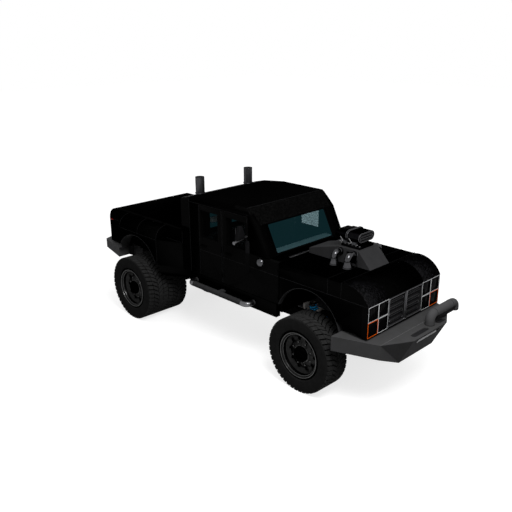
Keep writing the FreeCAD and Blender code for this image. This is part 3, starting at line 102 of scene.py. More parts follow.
def makeSurface(name, dark, light, cloudMm=180, grainMm=4, bumpMm=0.2, roughness=0.6, metallic=0.0,
                specular=0.004, edge=1.0, crackle=None):
    # a wide noise blends dark into light and moves the roughness a little, a fine one is the relief, and a
    # crackle coat lays its flecks over them
    material = bpy.data.materials.new(name)
    tree = emptyTree(material)
    place = addNode(tree, "ShaderNodeTexCoord", out="Object")
    cloud = addNode(tree, "ShaderNodeTexNoise", {"Scale": 1000 / cloudMm, "Detail": 5.0, "Roughness": 0.65},
                    {"Vector": place})
    grain = addNode(tree, "ShaderNodeTexNoise", {"Scale": 1000 / grainMm, "Detail": 3.0}, {"Vector": place})
    share = addNode(tree, "ShaderNodeMapRange", {"From Min": 0.32, "From Max": 0.68}, {"Value": cloud})
    colour = addNode(tree, "ShaderNodeMixRGB", {"Color1": hexToLinear(dark), "Color2": hexToLinear(light)},
                     {"Fac": share})
    if crackle:
        colour = addNode(tree, "ShaderNodeMixRGB", {"Color2": hexToLinear(crackle["fleck"])},
                         {"Fac": crackleMask(tree, place, crackle), "Color1": colour})
    gloss = addNode(tree, "ShaderNodeMapRange", {"To Min": roughness - 0.04, "To Max": roughness + 0.04},
                    {"Value": cloud})
    relief = addNode(tree, "ShaderNodeBump", {"Strength": 0.5, "Distance": bumpMm / 1000}, {"Height": grain})
    coat = {"Metallic": metallic, "Specular IOR Level": specular, "Specular Tint": (edge, edge, edge, 1.0)}
    shader = addNode(tree, "ShaderNodeBsdfPrincipled", coat,
                     {"Base Color": colour, "Roughness": gloss, "Normal": relief})
    addNode(tree, "ShaderNodeOutputMaterial", links={"Surface": shader})
    return material


def makeGlass(name, clear, glowColour):
    # light passes straight through times the clear colour, and an emission adds a faint even painted glow of
    # the glow colour: the sheet gives off light though it is no lamp
    material = bpy.data.materials.new(name)
    tree = emptyTree(material)
    through = addNode(tree, "ShaderNodeBsdfTransparent", {"Color": hexToLinear(clear)})
    paintedGlow = addNode(tree, "ShaderNodeEmission", {"Color": hexToLinear(glowColour), "Strength": 1.0})
    both = addNode(tree, "ShaderNodeAddShader", links={0: through, 1: paintedGlow})
    addNode(tree, "ShaderNodeOutputMaterial", links={"Surface": both})
    return material


def makeEnamel(name, dark, light, crackle=None):
    # sprayed metallic enamel: the dyed coat swallows light, and the gun leaves orange peel about 6 mm wide
    return makeSurface(name, dark, light, 420, 6, 0.12, 0.36, metallic=1.0, edge=0.12, crackle=crackle)


def makePowder(name, dark, light, roughness=0.6):
    # baked powder coat: even dull grey, a fine pebble in the relief and a faint cloud of road dust
    return makeSurface(name, dark, light, 180, 3, 0.25, roughness)


def makeMetal(name, dark, light, roughness, edge=0.5):
    # bare or plated metal: a mirror of the room dimmed by its tint, with polishing streaks in the roughness
    return makeSurface(name, dark, light, 60, 9, 0.03, roughness, metallic=1.0, edge=edge)


def makeMoulded(name, dark, light, roughness=0.4, specular=0.02):
    # moulded plastic, rubber or vinyl: one colour right through, with the fine grain of the mould
    return makeSurface(name, dark, light, 90, 4, 0.15, roughness, specular=specular)


noseCrackle = {"fromX": 2.957, "low": 0.2, "high": 1.1, "fleckMm": 19, "stretch": (0.45, 1.3, 0.8),
               "fleck": "#2c2c2e"}
headerCrackle = {"fromX": 0.60, "low": 0.25, "high": 0.97, "fleckMm": 16, "stretch": (1.3, 0.5, 0.8),
                 "fleck": "#121212"}

finishes = {
    "body": makeEnamel("sprayedBlackEnamel", "#050505", "#070707"),
    "door": makeSurface("sprayedDoorPaint", "#050505", "#070707", 420, 6, 0.12, 0.5),  # flatter than wings
    "noseCrackle": makeEnamel("crackleNoseEnamel", "#040404", "#070707", noseCrackle),
    "headerCrackle": makeSurface("crackleHeaderPaint", "#020202", "#030303", 420, 6, 0.2, 0.8, specular=0.0,
                                 crackle=headerCrackle),  # dull: no shine at a low angle
    "noseBlack": makePowder("nosePowderCoat", "#050505", "#080808"),
    "bumper": makePowder("greyPowderCoat", "#393939", "#3d3d3e"),
    "rearBumper": makePowder("paleBumperCoat", "#4c4c4d", "#525253"),
    # a paler grey than the bumper, as a painted highlight along its fold
    "bumperEdgeHighlight": makePowder("paintedEdgeHighlightCoat", "#565657", "#5c5c5d"),
    "bullTube": makePowder("paleGreyPowderCoat", "#414142", "#454546"),
    "scoop": makePowder("satinScoopCoat", "#2a2a2b", "#2e2e2f", 0.5),
    "grille": makePowder("grilleCoat", "#1f1f20", "#232324", 0.5),
    "louvre": makeMetal("brushedLouvreSteel", "#3a3a3b", "#444446", 0.3),
    "grilleTube": makeMetal("satinGrilleTube", "#4e4e50", "#58585a", 0.28),
    "chassis": makePowder("chassisBlackCoat", "#0c0c0d", "#141415", 0.7),
    "iron": makeSurface("paintedCastIron", "#101011", "#1c1c1d", 40, 12, 1.2, 0.65),  # pitted by the mould
    # cast aluminium has an oily grey skin, and the leather a soft rolling grain
    "castAlloy": makeSurface("castAluminium", "#38393b", "#505154", 40, 10, 1.0, 0.5, specular=0.05),
    "leather": makeSurface("dyedUpholsteryLeather", "#191b1c", "#262829", 30, 7, 1.0, 0.5, specular=0.1),
    "bracket": makePowder("paleBracketCoat", "#b0aca8", "#c0bcb8"),
    "darkAlloy": makeMetal("darkAnodisedAluminium", "#08080a", "#0e0e0f", 0.2, 0.1),
    "chrome": makeMetal("smokedChrome", "#3e3e40", "#48484a", 0.16),
    "brightChrome": makeMetal("polishedChrome", "#808082", "#8c8c8e", 0.1),
    "stack": makeMetal("satinStackSteel", "#3c3c3e", "#444446", 0.4, 0.3),
    "step": makePowder("satinStepCoat", "#2b2b2c", "#303031", 0.4),
    "elbow": makeMetal("polishedElbowSteel", "#5a5a5c", "#646466", 0.3, 0.3),
    # a grey for seams and joints; on the black body its beads are painted highlights along the panel edges,
    # and as the bull bar's keel and the bumper's trough plates it is painted shade
    "seam": makePowder("seamGreyAndPaintedLight", "#1c1c1d", "#212122", 0.7),
    "mirrorShell": makePowder("satinMirrorCoat", "#101011", "#141415", 0.5),
    "trim": makePowder("satinTrimCoat", "#262627", "#2d2d2e", 0.5),
    "spring": makePowder("blueSpringEnamel", "#1a9ee0", "#3cb8f4", 0.3),
    "springSteel": makeMetal("springSteel", "#222224", "#2c2c2e", 0.5),
    "rubber": makeSurface("vulcanisedRubber", "#191919", "#1f1f1f", 110, 3, 0.9, 0.8),  # dusty grey-black
    "tread": makeSurface("wornTreadRubber", "#222222", "#2d2d2d", 60, 3, 0.9, 0.75),  # scuffed a shade paler
    "gasket": makeMoulded("extrudedGasketRubber", "#040404", "#060606", 0.7, 0.0),
    # the cab glass's teal is mostly a painted glow that the sheet gives off over the dark cabin
    "cabGlass": makeGlass("glassWithTealPaintedGlow", "#a6b0b2", "#091b1e"),  # teal over a dark cabin
    "sideGlass": makeGlass("clearTemperedGlass", "#e2e8e9", "#010101"),  # black where the cabin is
    "lens": makeMoulded("smokedPolycarbonate", "#030304", "#060607", 0.2),
    "white": makeMoulded("whiteAbs", "#cfd0d1", "#dadbdc", 0.3),
    "bezel": makeMoulded("paleBezelAbs", "#b0b1b2", "#b8b9ba", 0.35),
    "dashTop": makeMoulded("paleDashFoam", "#e6eaea", "#f0f3f3", 0.7),
    "amber": makeMoulded("amberAcrylic", "#d85406", "#e6600a", 0.25),
    "red": makeMoulded("redAcrylic", "#800b0b", "#8f1010", 0.2),
    "dash": makeMoulded("mouldedDashVinyl", "#767b79", "#868b88", 0.6),
    "dial": makeMoulded("printedDialFace", "#090a0b", "#0d0f10", 0.4),
    "rim": makeMetal("darkWheelSteel", "#161616", "#202020", 0.32),
    "rimLip": makeMetal("machinedWheelLip", "#424242", "#4e4e4e", 0.22),
    "hub": makeMoulded("blackHubEnamel", "#020202", "#030303", 0.6, 0.0),
}
print("stage: materials made,", len(finishes))


# Surfaces as arrays: a chunk is (points, faces)

def stamp(copies, wrapRings=False, capEnds=True):
    # surfaces of one layout, as (copy, ring, point, xyz): quads join points j and j + 1 of rings i and i + 1,
    # and a polygon closes each end that is capped
    copies = np.asarray(copies, dtype=float)
    count, ringCount, pointCount = copies.shape[:3]
    i, j = np.meshgrid(np.arange(ringCount if wrapRings else ringCount - 1), np.arange(pointCount),
                       indexing="ij")
    start = i * pointCount
    following = (i + 1) % ringCount * pointCount
    beside = (j + 1) % pointCount
    quads = np.stack([start + j, start + beside, following + beside, following + j], axis=-1)
    faces = quads.reshape(-1, 4).tolist()
    if capEnds and not wrapRings:
        ring = list(range(pointCount))
        faces += [ring[::-1], [(ringCount - 1) * pointCount + k for k in ring]]
    stride = ringCount * pointCount
    faces = [[index + stride * k for index in face] for k in range(count) for face in faces]
    return copies.reshape(-1, 3), faces


def loft(rings, wrapRings=False, capEnds=True):
    # a surface through closed rings of equal point count
    return stamp([rings], wrapRings, capEnds)


def makePiece(name, chunks, finish, body="truck", sharpDegrees=35, replaced=()):
    # joins chunks into one object with its faces turned outwards, which rides on a body
    points = []
    faces = []
    offset = 0
    for chunkPoints, chunkFaces in chunks:
        points.append(chunkPoints)
        faces += [[index + offset for index in face] for face in chunkFaces]
        offset += len(chunkPoints)
    mesh = bpy.data.meshes.new(name)
    mesh.from_pydata(np.concatenate(points).tolist(), [], faces)
    mesh.materials.append(finishes[finish])
    work = bmesh.new()
    work.from_mesh(mesh)
    bmesh.ops.recalc_face_normals(work, faces=work.faces)
    work.to_mesh(mesh)
    work.free()
    mesh.polygons.foreach_set("use_smooth", np.ones(len(mesh.polygons), dtype=bool))
    mesh.set_sharp_from_angle(angle=math.radians(sharpDegrees))
    piece = bpy.data.objects.new(name, mesh)
    scene.collection.objects.link(piece)
    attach(piece, body)
    if replaced:
        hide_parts(*replaced)
    return piece


def mirrored(chunks):
    # the same chunks with y turned round
    return [(points * (1, -1, 1), [face[::-1] for face in faces]) for points, faces in chunks]


def bothSides(chunks):
    return list(chunks) + mirrored(chunks)


def makePairs(*rows):
    # each row is a piece for the left side; its mirror image rides on the right side's body
    for side, sign in sides.items():
        for name, chunks, finish, slot, body, *stoodFor in rows:
            makePiece(name + side, chunks if sign > 0 else mirrored(chunks), finish, body + side,
                      replaced=[node + side for node in stoodFor])


def circle(count, turn=0.0):
    # points (cos t, sin t) at equal angles, the first at the given share of a step
    t = (np.arange(count) + turn) * 2 * math.pi / count
    return np.stack([np.cos(t), np.sin(t)], axis=-1)


def roundedRectangle(halfA, halfB, radius, perCorner=5):
    # corner centre + radius (cos t, sin t), a quarter turn at each corner
    t = np.linspace(0, math.pi / 2, perCorner)
    corners = []
    for quarter, signs in enumerate(((1, 1), (-1, 1), (-1, -1), (1, -1))):
        angle = t + quarter * math.pi / 2
        corners.append(np.array(signs) * (halfA - radius, halfB - radius)
                       + radius * np.stack([np.cos(angle), np.sin(angle)], axis=-1))
    return np.concatenate(corners)


def stadium(halfLength, radius, perEnd=9):
    # a slot's outline: two half circles of radius r about (+-(halfLength - r), 0)
    t = np.linspace(-math.pi / 2, math.pi / 2, perEnd)
    right = np.stack([halfLength - radius + radius * np.cos(t), radius * np.sin(t)], axis=-1)
    return np.concatenate([right, -right])


def loopIn(flat, axis, centre):
    # a flat outline of (first, second) laid across an axis about a centre
    loop = np.tile(np.asarray(centre, dtype=float), (len(flat), 1))
    loop[:, acrossAxes[axis]] += flat
    return loop


def roundedBox(low, high, bevel, axis=2):
    # rounded rectangles stacked along an axis and drawn in by bevel (1 - sin t) at both ends
    low, high = np.array([low, high], dtype=float)
    centre = (low + high) / 2
    half = (high - low) / 2
    halfA, halfB = half[acrossAxes[axis]]
    t = np.linspace(0, math.pi / 2, 4)
    inset = bevel * (1 - np.sin(t))
    rise = bevel * (1 - np.cos(t))
    levels = np.concatenate([rise - half[axis], half[axis] - rise[::-1]])
    rings = []
    for level, drawIn in zip(levels, np.concatenate([inset, inset[::-1]])):
        flat = roundedRectangle(halfA - drawIn, halfB - drawIn, max(bevel * 1.2 - drawIn, bevel * 0.2), 4)
        rings.append(loopIn(flat, axis, centre + level * axes[axis]))
    return loft(rings)


def revolve(profile, centre, axis=1, steps=96, closed=True):
    # a profile of (radius, along) turned about an axis: centre + radius (cos t, sin t) + along
    rings = [loopIn(radius * circle(steps), axis, centre + along * axes[axis]) for radius, along in profile]
    return loft(rings, closed)


def crossways(direction):
    # a unit vector across a direction, level unless the direction is upright
    side = np.cross(direction, alongZ)
    if np.linalg.norm(side) < 1e-3:
        side = np.cross(direction, alongY)
    return side / np.linalg.norm(side)


def sweep(path, radii, sides=24, closed=False):
    # a round bar along a path: each ring lies across the tangent, turned as little as possible from the last
    path = np.asarray(path, dtype=float)
    radii = np.broadcast_to(radii, (len(path),))
    tangent = np.roll(path, -1, axis=0) - np.roll(path, 1, axis=0) if closed else np.gradient(path, axis=0)
    tangent /= np.linalg.norm(tangent, axis=1, keepdims=True)
    side = crossways(tangent[0])
    across = []
    for direction in tangent:
        side = side - direction * np.dot(side, direction)
        side /= np.linalg.norm(side)
        across.append(side)
    rings = circle(sides) @ np.stack([across, np.cross(tangent, across)], axis=1)
    return loft(path[:, None] + rings * radii[:, None, None], closed)


def rods(segments, radius, sides=8):
    # straight round bars: each goes from its first to its last point
    return [sweep(segment, radius, sides) for segment in segments]


def roundedPath(corners, bend, perBend=10):
    # straight runs joined by arcs: a circle of radius bend that touches both runs takes each corner's place
    corners = np.asarray(corners, dtype=float)
    points = [corners[0]]
    for before, corner, after in zip(corners, corners[1:], corners[2:]):
        back = (before - corner) / np.linalg.norm(before - corner)
        ahead = (after - corner) / np.linalg.norm(after - corner)
        half = math.acos(np.clip(np.dot(back, ahead), -1, 1)) / 2
        trim = bend / math.tan(half)
        centre = corner + (back + ahead) / np.linalg.norm(back + ahead) * bend / math.sin(half)
        first = corner + back * trim - centre
        last = corner + ahead * trim - centre
        turn = math.pi - 2 * half
        for share in np.linspace(0, 1, perBend):
            points.append(centre + (first * math.sin((1 - share) * turn) + last * math.sin(share * turn))
                          / math.sin(turn))
    return np.array(points + [corners[-1]])


def ringAbout(centre, axis, radius, thickness, steps=48, sides=10):
    # a torus: a circle of the given radius about any axis, swept with a small round section
    across = crossways(axis)
    path = centre + radius * circle(steps) @ np.array([across, np.cross(axis, across)])
    return sweep(path, thickness, sides, True)


def helix(start, rise, across, other, radius, turns, climb):
    # start + rise * climb + radius (across cos t + other sin t), for equal steps of t over the turns
    t = np.linspace(0, 2 * math.pi * turns, len(climb))
    wave = np.stack([np.cos(t), np.sin(t)], axis=-1) @ np.array([across, other])
    return start + climb[:, None] * rise + radius * wave


def boltHeads(places, axis, radius, height):
    # hexagon heads with a chamfer, standing along an axis from each place
    return stamp([[loopIn(radius * share * circle(6), axis, place + height * along * axes[axis])
                   for share, along in ((1.0, 0.0), (1.0, 0.75), (0.8, 1.0))] for place in places])


def boxOf(node):
    # a node's lowest and highest corners
    return np.array(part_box(node))


def middleOf(node):
    return boxOf(node).mean(axis=0)


# Tyres: a revolved carcass with flat sidewalls, and four rows of slanted tread blocks

tyre = {"treadDepth": 0.026, "bead": 0.379, "beadWidth": 0.014, "beadRise": 0.012, "mouth": 0.424,
        "mouthDepth": 0.058, "mouthRound": 0.020, "corner": 0.010, "pitches": 46,
        "rowEdges": (-1.0, -0.52, 0.0, 0.52, 1.0), "rowGap": 0.015, "lengthShare": 0.385,
        "slants": (0.14, 0.40, -0.40, -0.14), "chamferShare": 0.07, "chamferDepth": 0.004, "topShare": 0.975,
        "sink": 0.008, "bandInset": 0.012, "bandStand": 0.0015, "bandDepth": 0.004,
        "shade": ((-0.043, -0.055), (-0.0305, -0.0425), (-0.0005, -0.0175), (0.006, -0.0055),
                  (0.010, -0.010), (0.004, -0.021), (-0.027, -0.047), (-0.040, -0.058))}
axleZ = middleOf("rim_front_left")[2]
tyreWidth = np.ptp(boxOf("tyre_front_left"), axis=0)[1]
tyreHalf = tyreWidth / 2 - 0.001
treadRoot = axleZ - tyre["treadDepth"]
# each wheel's ending in the pieces' names, its ending in the names of nodes and bodies, and its side's sign
wheels = [(place + side, plural + place + side, sign) for side, sign in sides.items()
          for place, plural in (("_front_", ""), ("_rear_", "s"))]


def tyreCarcass(centre):
    # half section (radius, across): bead, rounded mouth, flat sidewall, tight corner, tread root; mirrored
    deep = tyreHalf - tyre["mouthDepth"]
    inner = [(tyre["bead"], deep), (tyre["bead"] + tyre["beadWidth"], deep + tyre["beadRise"])]
    t = np.linspace(0, math.pi / 2, 6)
    lip = tyre["mouthRound"] * np.stack([1 - np.cos(t), np.sin(t) - 1], axis=-1) + (tyre["mouth"], tyreHalf)
    edge = tyre["corner"] * np.stack([np.sin(t) - 1, np.cos(t) - 1], axis=-1) + (treadRoot, tyreHalf)
    outer = np.concatenate([inner, lip, edge])
    return revolve(np.concatenate([outer, outer[::-1] * (1, -1)]), centre, 1, 150)


def tyreBlocks(centre, sign):
    # each block is an eight-sided prism with its top drawn in, set round the tyre by the pitch and turned by
    # its row's slant
    pitch = 2 * math.pi / tyre["pitches"]
    c = 1 - tyre["chamferShare"]
    u = np.array([1, 1, c, -c, -1, -1, -c, c])
    v = np.array([-c, c, 1, 1, c, -c, -1, -1])
    levels = ((treadRoot - tyre["sink"], 1.0), (axleZ - tyre["chamferDepth"], 1.0), (axleZ, tyre["topShare"]))
    rows = []
    for index, (a, b) in enumerate(zip(tyre["rowEdges"], tyre["rowEdges"][1:])):
        angles = (np.arange(tyre["pitches"]) + 0.5 * (index % 2))[:, None] * pitch
        halfWidth = (b - a) / 2 * tyreHalf - tyre["rowGap"] / 2 * (1 if index in (1, 2) else 0.5)
        rings = []
        for radius, scale in levels:
            theta = angles + (v * tyre["lengthShare"] * scale + u * tyre["slants"][index] * sign) * pitch
            across = np.broadcast_to(centre[1] + (a + b) / 2 * tyreHalf + u * halfWidth * scale, theta.shape)
            rings.append(np.stack([centre[0] + radius * np.cos(theta), across,
                                   axleZ + radius * np.sin(theta)], axis=-1))
        rows.append(stamp(np.stack(rings, axis=1)))
    return rows


def tyrePaintedShade(centre):
    # painted shade in near-black rubber: a band round the tread root, dark between the blocks, and a ring
    # inside each mouth, dark in its recess
    edge = tyreHalf - tyre["bandInset"]
    outer = treadRoot + tyre["bandStand"]
    inner = treadRoot - tyre["bandDepth"]
    ring = np.array(tyre["shade"]) + (tyre["mouth"], tyreHalf)
    profiles = [[(outer, edge), (outer, -edge), (inner, -edge), (inner, edge)], ring, ring * (1, -1)]
    return [revolve(profile, centre, 1, 120) for profile in profiles]


def makeTyres():
    for name, node, sign in wheels:
        low, high = boxOf("tyre" + node)
        # a twin wheel has a tyre at each end of its box, and in a single one both ends give the same middle
        ys = sorted({round(low[1] + tyreWidth / 2, 6), round(high[1] - tyreWidth / 2, 6)})
        centres = [(middleOf("tyre" + node)[0], y, axleZ) for y in ys]
        carcasses = [tyreCarcass(centre) for centre in centres]
        lugs = [row for centre in centres for row in tyreBlocks(centre, sign)]
        paintedShade = [shade for centre in centres for shade in tyrePaintedShade(centre)]
        body = "wheel" + node
        makePiece("tyre_carcass" + name, carcasses, "rubber", body, 40, ("tyre" + node,))
        makePiece("tread_lugs" + name, lugs, "tread", body, 30)
        # painted shade at the groove roots and in the wheel mouths
        makePiece("tyre_groove_shade" + name, paintedShade, "gasket", body, 40)
    print("stage: tyres")


# Wheels: a dished disc with hand holes in a rolled barrel, a machined lip and a black eight-sided hub

rim = {"face": 0.006, "width": tyreWidth - 0.02, "twinStep": tyreWidth + 0.010, "lip": 0.384,
       "lipDepth": 0.008, "lipRound": 0.0075, "barrel": 0.352, "barrelDepth": 0.036, "plate": 0.010,
       "disc": 0.340, "discDepth": 0.128, "discThickness": 0.018, "coneRise": 0.040, "holes": 10,
       "holeRadius": 0.033, "holePitch": 0.262, "holeChamfer": 0.004, "hub": 0.140, "hubFoot": 0.020,
       "hubStand": 0.082, "hubChamfer": 0.014, "cap": ((0.062, 0.0), (0.058, 0.012), (0.030, 0.016)),
       "ring": 0.146, "ringRound": 0.006, "ringStand": 0.030, "nuts": 8, "nutPitch": 0.200,
       "nutRadius": 0.015, "nutHeight": 0.026, "nutStand": 0.004,
       "drum": ((0.060, -0.178), (0.332, -0.178), (0.338, -0.184), (0.338, -0.206), (0.060, -0.206))}


def rimBarrel(face, sign):
    # section (radius, depth): rolled lip, drop, well and inner edge, and back a plate's thickness inside
    lip = rim["lip"]
    wall = rim["barrel"]
    outside = [(lip, -0.004), (lip - 0.010, -0.010), (wall + 0.010, -0.026), (wall + 0.004, -0.034),
               (wall, -0.060), (wall - 0.010, -0.110), (wall - 0.012, 0.040 - rim["width"]),
               (wall + 0.018, 0.004 - rim["width"])]
    back = [(radius + rim["plate"], along - rim["plate"] / 4) for radius, along in outside[::-1]]
    return revolve(np.array(outside + back) * (1, sign), face)


def rimDisc(face, sign):
    # each sector is a patch from a round hand hole out to the sector's edge, and the disc rises by the square
    # of the step from the holes' circle
    sector = 2 * math.pi / rim["holes"]
    pitch = rim["holePitch"]
    outward = rim["disc"] - pitch
    ring = circle(32)
    square = np.clip(ring * math.sqrt(2), -1, 1)
    edgeRadius = pitch + square[:, 0] * np.where(square[:, 0] > 0, outward, pitch - rim["hub"] * 0.8)
    plate = -rim["discThickness"]
    loops = []
    for hole, depth in ((False, plate), (True, plate), (True, -rim["holeChamfer"]), (True, 0.0),
                        (False, 0.0)):
        mouth = (pitch, 0) + ring * (rim["holeRadius"] + (0.0 if depth else rim["holeChamfer"]))
        r = np.hypot(*mouth.T) if hole else edgeRadius
        angle = np.arctan2(mouth[:, 1], mouth[:, 0]) if hole else square[:, 1] * sector / 2
        dish = rim["coneRise"] * np.clip((r - pitch) / outward, -1, 1) ** 2 - rim["discDepth"]
        theta = np.arange(rim["holes"])[:, None] * sector + angle
        loops.append(np.stack([face[0] + r * np.cos(theta),
                               np.broadcast_to(face[1] + sign * (dish + depth), theta.shape),
                               axleZ + r * np.sin(theta)], axis=-1))
    return stamp(np.stack(loops, axis=1), True)


def hubCap(face, sign):
    # an octagon drawn out from the disc, chamfered, with a raised centre
    top = rim["hubStand"] - rim["discDepth"]
    levels = [(rim["hub"], rim["hubFoot"] - rim["discDepth"]), (rim["hub"], top - rim["hubChamfer"]),
              (rim["hub"] - rim["hubChamfer"], top)] + [(radius, top + along) for radius, along in rim["cap"]]
    rings = [loopIn(radius * circle(8, 0.5), 1, face + sign * along * alongY) for radius, along in levels]
    return loft(rings)


def makeRims():
    for name, node, sign in wheels:
        low, high = boxOf("tyre" + node)
        faceY = (high if sign > 0 else low)[1] - sign * rim["face"]
        face = np.array([middleOf("tyre" + node)[0], faceY, axleZ])
        inward = -sign * alongY
        body = "wheel" + node
        chunks = [rimBarrel(face, sign), rimDisc(face, sign)]
        if "rear" in name:
            chunks.append(rimBarrel(face + inward * rim["twinStep"], sign))
        makePiece("dished_rim" + name, chunks, "rim", body, 40, ("rim" + node,))
        lips = [ringAbout(face + inward * rim["lipDepth"], alongY, rim["lip"] + 0.001, rim["lipRound"], 96),
                ringAbout(face + inward * rim["barrelDepth"], alongY, rim["barrel"] + 0.003,
                          rim["ringRound"], 96)]
        makePiece("rim_lip" + name, lips, "rimLip", body)
        makePiece("hub_cap" + name, [hubCap(face, sign)], "hub", body, 25)
        ring = ringAbout(face + inward * (rim["discDepth"] - rim["ringStand"]), alongY, rim["ring"],
                         rim["ringRound"], 64)
        makePiece("hub_ring" + name, [ring], "rimLip", body)
        drum = revolve(np.array(rim["drum"]) * (1, sign), face, 1, 64)
        makePiece("brake_drum" + name, [drum], "iron", body)
        places = loopIn(rim["nutPitch"] * circle(rim["nuts"], 0.5), 1,
                        face + inward * (rim["discDepth"] - rim["nutStand"]))
        nuts = boltHeads(places, 1, rim["nutRadius"], sign * rim["nutHeight"])
        makePiece("wheel_nuts" + name, [nuts], "rimLip", body)
    print("stage: wheels")


# Blower: bright rims on the hat's slots with black painted shade inside them, a beaded flange, carburettor
# bowls, fuel lines and bolts

scoopSlope = 0.245
blower = {"hatBehind": 0.045, "slotPitch": 0.044, "slotHalf": 0.168, "slotRound": 0.014, "slotRim": 0.0045,
          "hatHalf": 0.212, "hatHeight": 0.156, "faceInset": 0.004, "faceRim": 0.0055, "flangeBehind": 0.220,
          "flangeReach": 0.013, "flangeThickness": 0.026, "flangeRim": 0.006, "baseHeight": 0.045,
          "boltY": 0.170, "boltX": 0.135, "bowlX": 0.085, "bowlY": (0.114, 0.176), "bowlHalf": 0.050,
          "plug": ((0.016, 0.0), (0.016, 0.022), (0.0, 0.022), (0.001, 0.0)), "pipe": 0.0075,
          "pipeBend": 0.016, "rail": 0.009, "railX": (0.175, -0.200), "railY": 0.150}


def makeBlowerTrim():
    low, high = boxOf("blower")
    front = boxOf("hood_scoop")[1][0] - scoopSlope - blower["hatBehind"]
    hatZ = high[2] - blower["flangeReach"] - blower["hatHeight"] / 2
    rims = []
    slotShade = []
    for z in hatZ + blower["slotPitch"] * np.array([-1, 0, 1]):
        slot = stadium(blower["slotHalf"], blower["slotRound"])
        # a black plate at each slot's face is painted shade for the dark inside of the intake
        slotShade.append(loft([loopIn(slot, 0, (front + step, 0, z)) for step in (-0.003, 0.0008)]))
        rims.append(sweep(loopIn(slot, 0, (front, 0, z)), blower["slotRim"], 8, True))
    flange = front - blower["flangeBehind"]
    for x, reach, count, thickness in ((front, -blower["faceInset"], 9, blower["faceRim"]),
                                       (flange, blower["flangeReach"], 13, blower["flangeRim"]),
                                       (flange - blower["flangeThickness"], blower["flangeReach"], 13,
                                        blower["flangeRim"])):
        outline = stadium(blower["hatHalf"] + reach, blower["hatHeight"] / 2 + reach, count)
        rims.append(sweep(loopIn(outline, 0, (x, 0, hatZ)), thickness, 8, True))
    makePiece("intake_slot_rims", rims, "grilleTube")
    makePiece("intake_slot_shade", slotShade, "hub")

    base = low[2] + blower["baseHeight"]
    y0, y1 = blower["bowlY"]
    bowls = []
    lines = []
    for x in (flange + blower["bowlX"], flange - blower["bowlX"]):
        bowls += bothSides([roundedBox((x - blower["bowlHalf"], y0, base + 0.002),
                                       (x + blower["bowlHalf"], y1, base + 0.052), 0.010),
                            revolve(blower["plug"], (x, y1, base + 0.026), 1, 20)])
        route = [(x, 0.185, base + 0.026), (x, 0.222, base + 0.026), (x, 0.222, base + 0.075),
                 (x - 0.060, 0.205, base + 0.110)]
        lines.append(sweep(roundedPath(route, blower["pipeBend"], 6), blower["pipe"], 10))
    makePiece("carburettor_bowls", bowls, "castAlloy")
    railZ = base + 0.012
    lines.append(sweep([(flange + x, blower["railY"], railZ) for x in blower["railX"]], blower["rail"], 12))
    for x in (flange + 0.120, flange - 0.120):
        lines.append(ringAbout((x, blower["railY"], railZ), alongX, 0.012, 0.004, 20, 8))
    makePiece("fuel_lines", bothSides(lines), "brightChrome")
    bolts = [(x, y, base) for x in np.linspace(low[0] + blower["boltX"], front, 6)
             for y in (blower["boltY"], -blower["boltY"])]
    makePiece("blower_bolts", [boltHeads(bolts, 2, 0.009, 0.010)], "brightChrome")
    print("stage: blower")


# Header pipes: smooth bent tubes with flared feet, in flanges and collars

header = {"x": (2.611, 2.343), "y": 0.416, "foot": 2.047, "top": 2.243, "endY": 0.2606, "radius": 0.052,
          "footRadius": 0.083, "footHeight": 0.105, "footStart": 0.012, "bend": 0.075, "lift": 0.004}


def makeHeaderPipes():
    # the tube's radius is footRadius + (radius - footRadius) * smooth(height / footHeight)
    y, foot, top, radius = [header[key] for key in ("y", "foot", "top", "radius")]
    pipes = []
    collars = []
    for x in header["x"]:
        start = foot + header["lift"]
        route = roundedPath([(x, y, start), (x, y, top), (x, header["endY"], top)], header["bend"], 14)
        lower = [(x, y, z) for z in np.linspace(start, top - header["bend"], 16)[:-1]]
        route = np.concatenate([lower, route[1:]])
        share = np.clip((route[:, 2] - foot - header["footStart"]) / header["footHeight"], 0, 1)
        smooth = share * share * (3 - 2 * share)
        radii = header["footRadius"] + (radius + 0.004 - header["footRadius"]) * smooth
        radii[route[:, 1] < y - header["bend"]] = radius
        pipes.append(sweep(route, radii, 32))
        collars += [ringAbout((x, y, foot + 0.010), alongZ, header["footRadius"] - 0.006, 0.009),
                    ringAbout((x, y, foot + 0.112), alongZ, radius + 0.003, 0.004),
                    ringAbout((x, header["endY"] + 0.036, top), alongY, radius + 0.001, 0.0065),
                    revolve([(radius - 0.006, 0.002), (radius + 0.014, 0.002), (radius + 0.014, 0.011),
                             (radius - 0.006, 0.011)], (x, header["endY"], top), 1, 36)]
    makePiece("header_tubes", bothSides(pipes), "chrome", replaced=("header_pipes",))
    makePiece("header_collars", bothSides(collars), "chrome")
    print("stage: header pipes")


# Hood scoop trim: a bright post at the front of each side vent, and a bead round its mouth

scoop = {"postRadius": 0.010, "postBehind": 0.014, "ventHalf": (0.100, 0.095), "ventInset": 0.030,
         "bead": 0.004, "edgeBead": 0.0025, "edgeInset": 0.004}


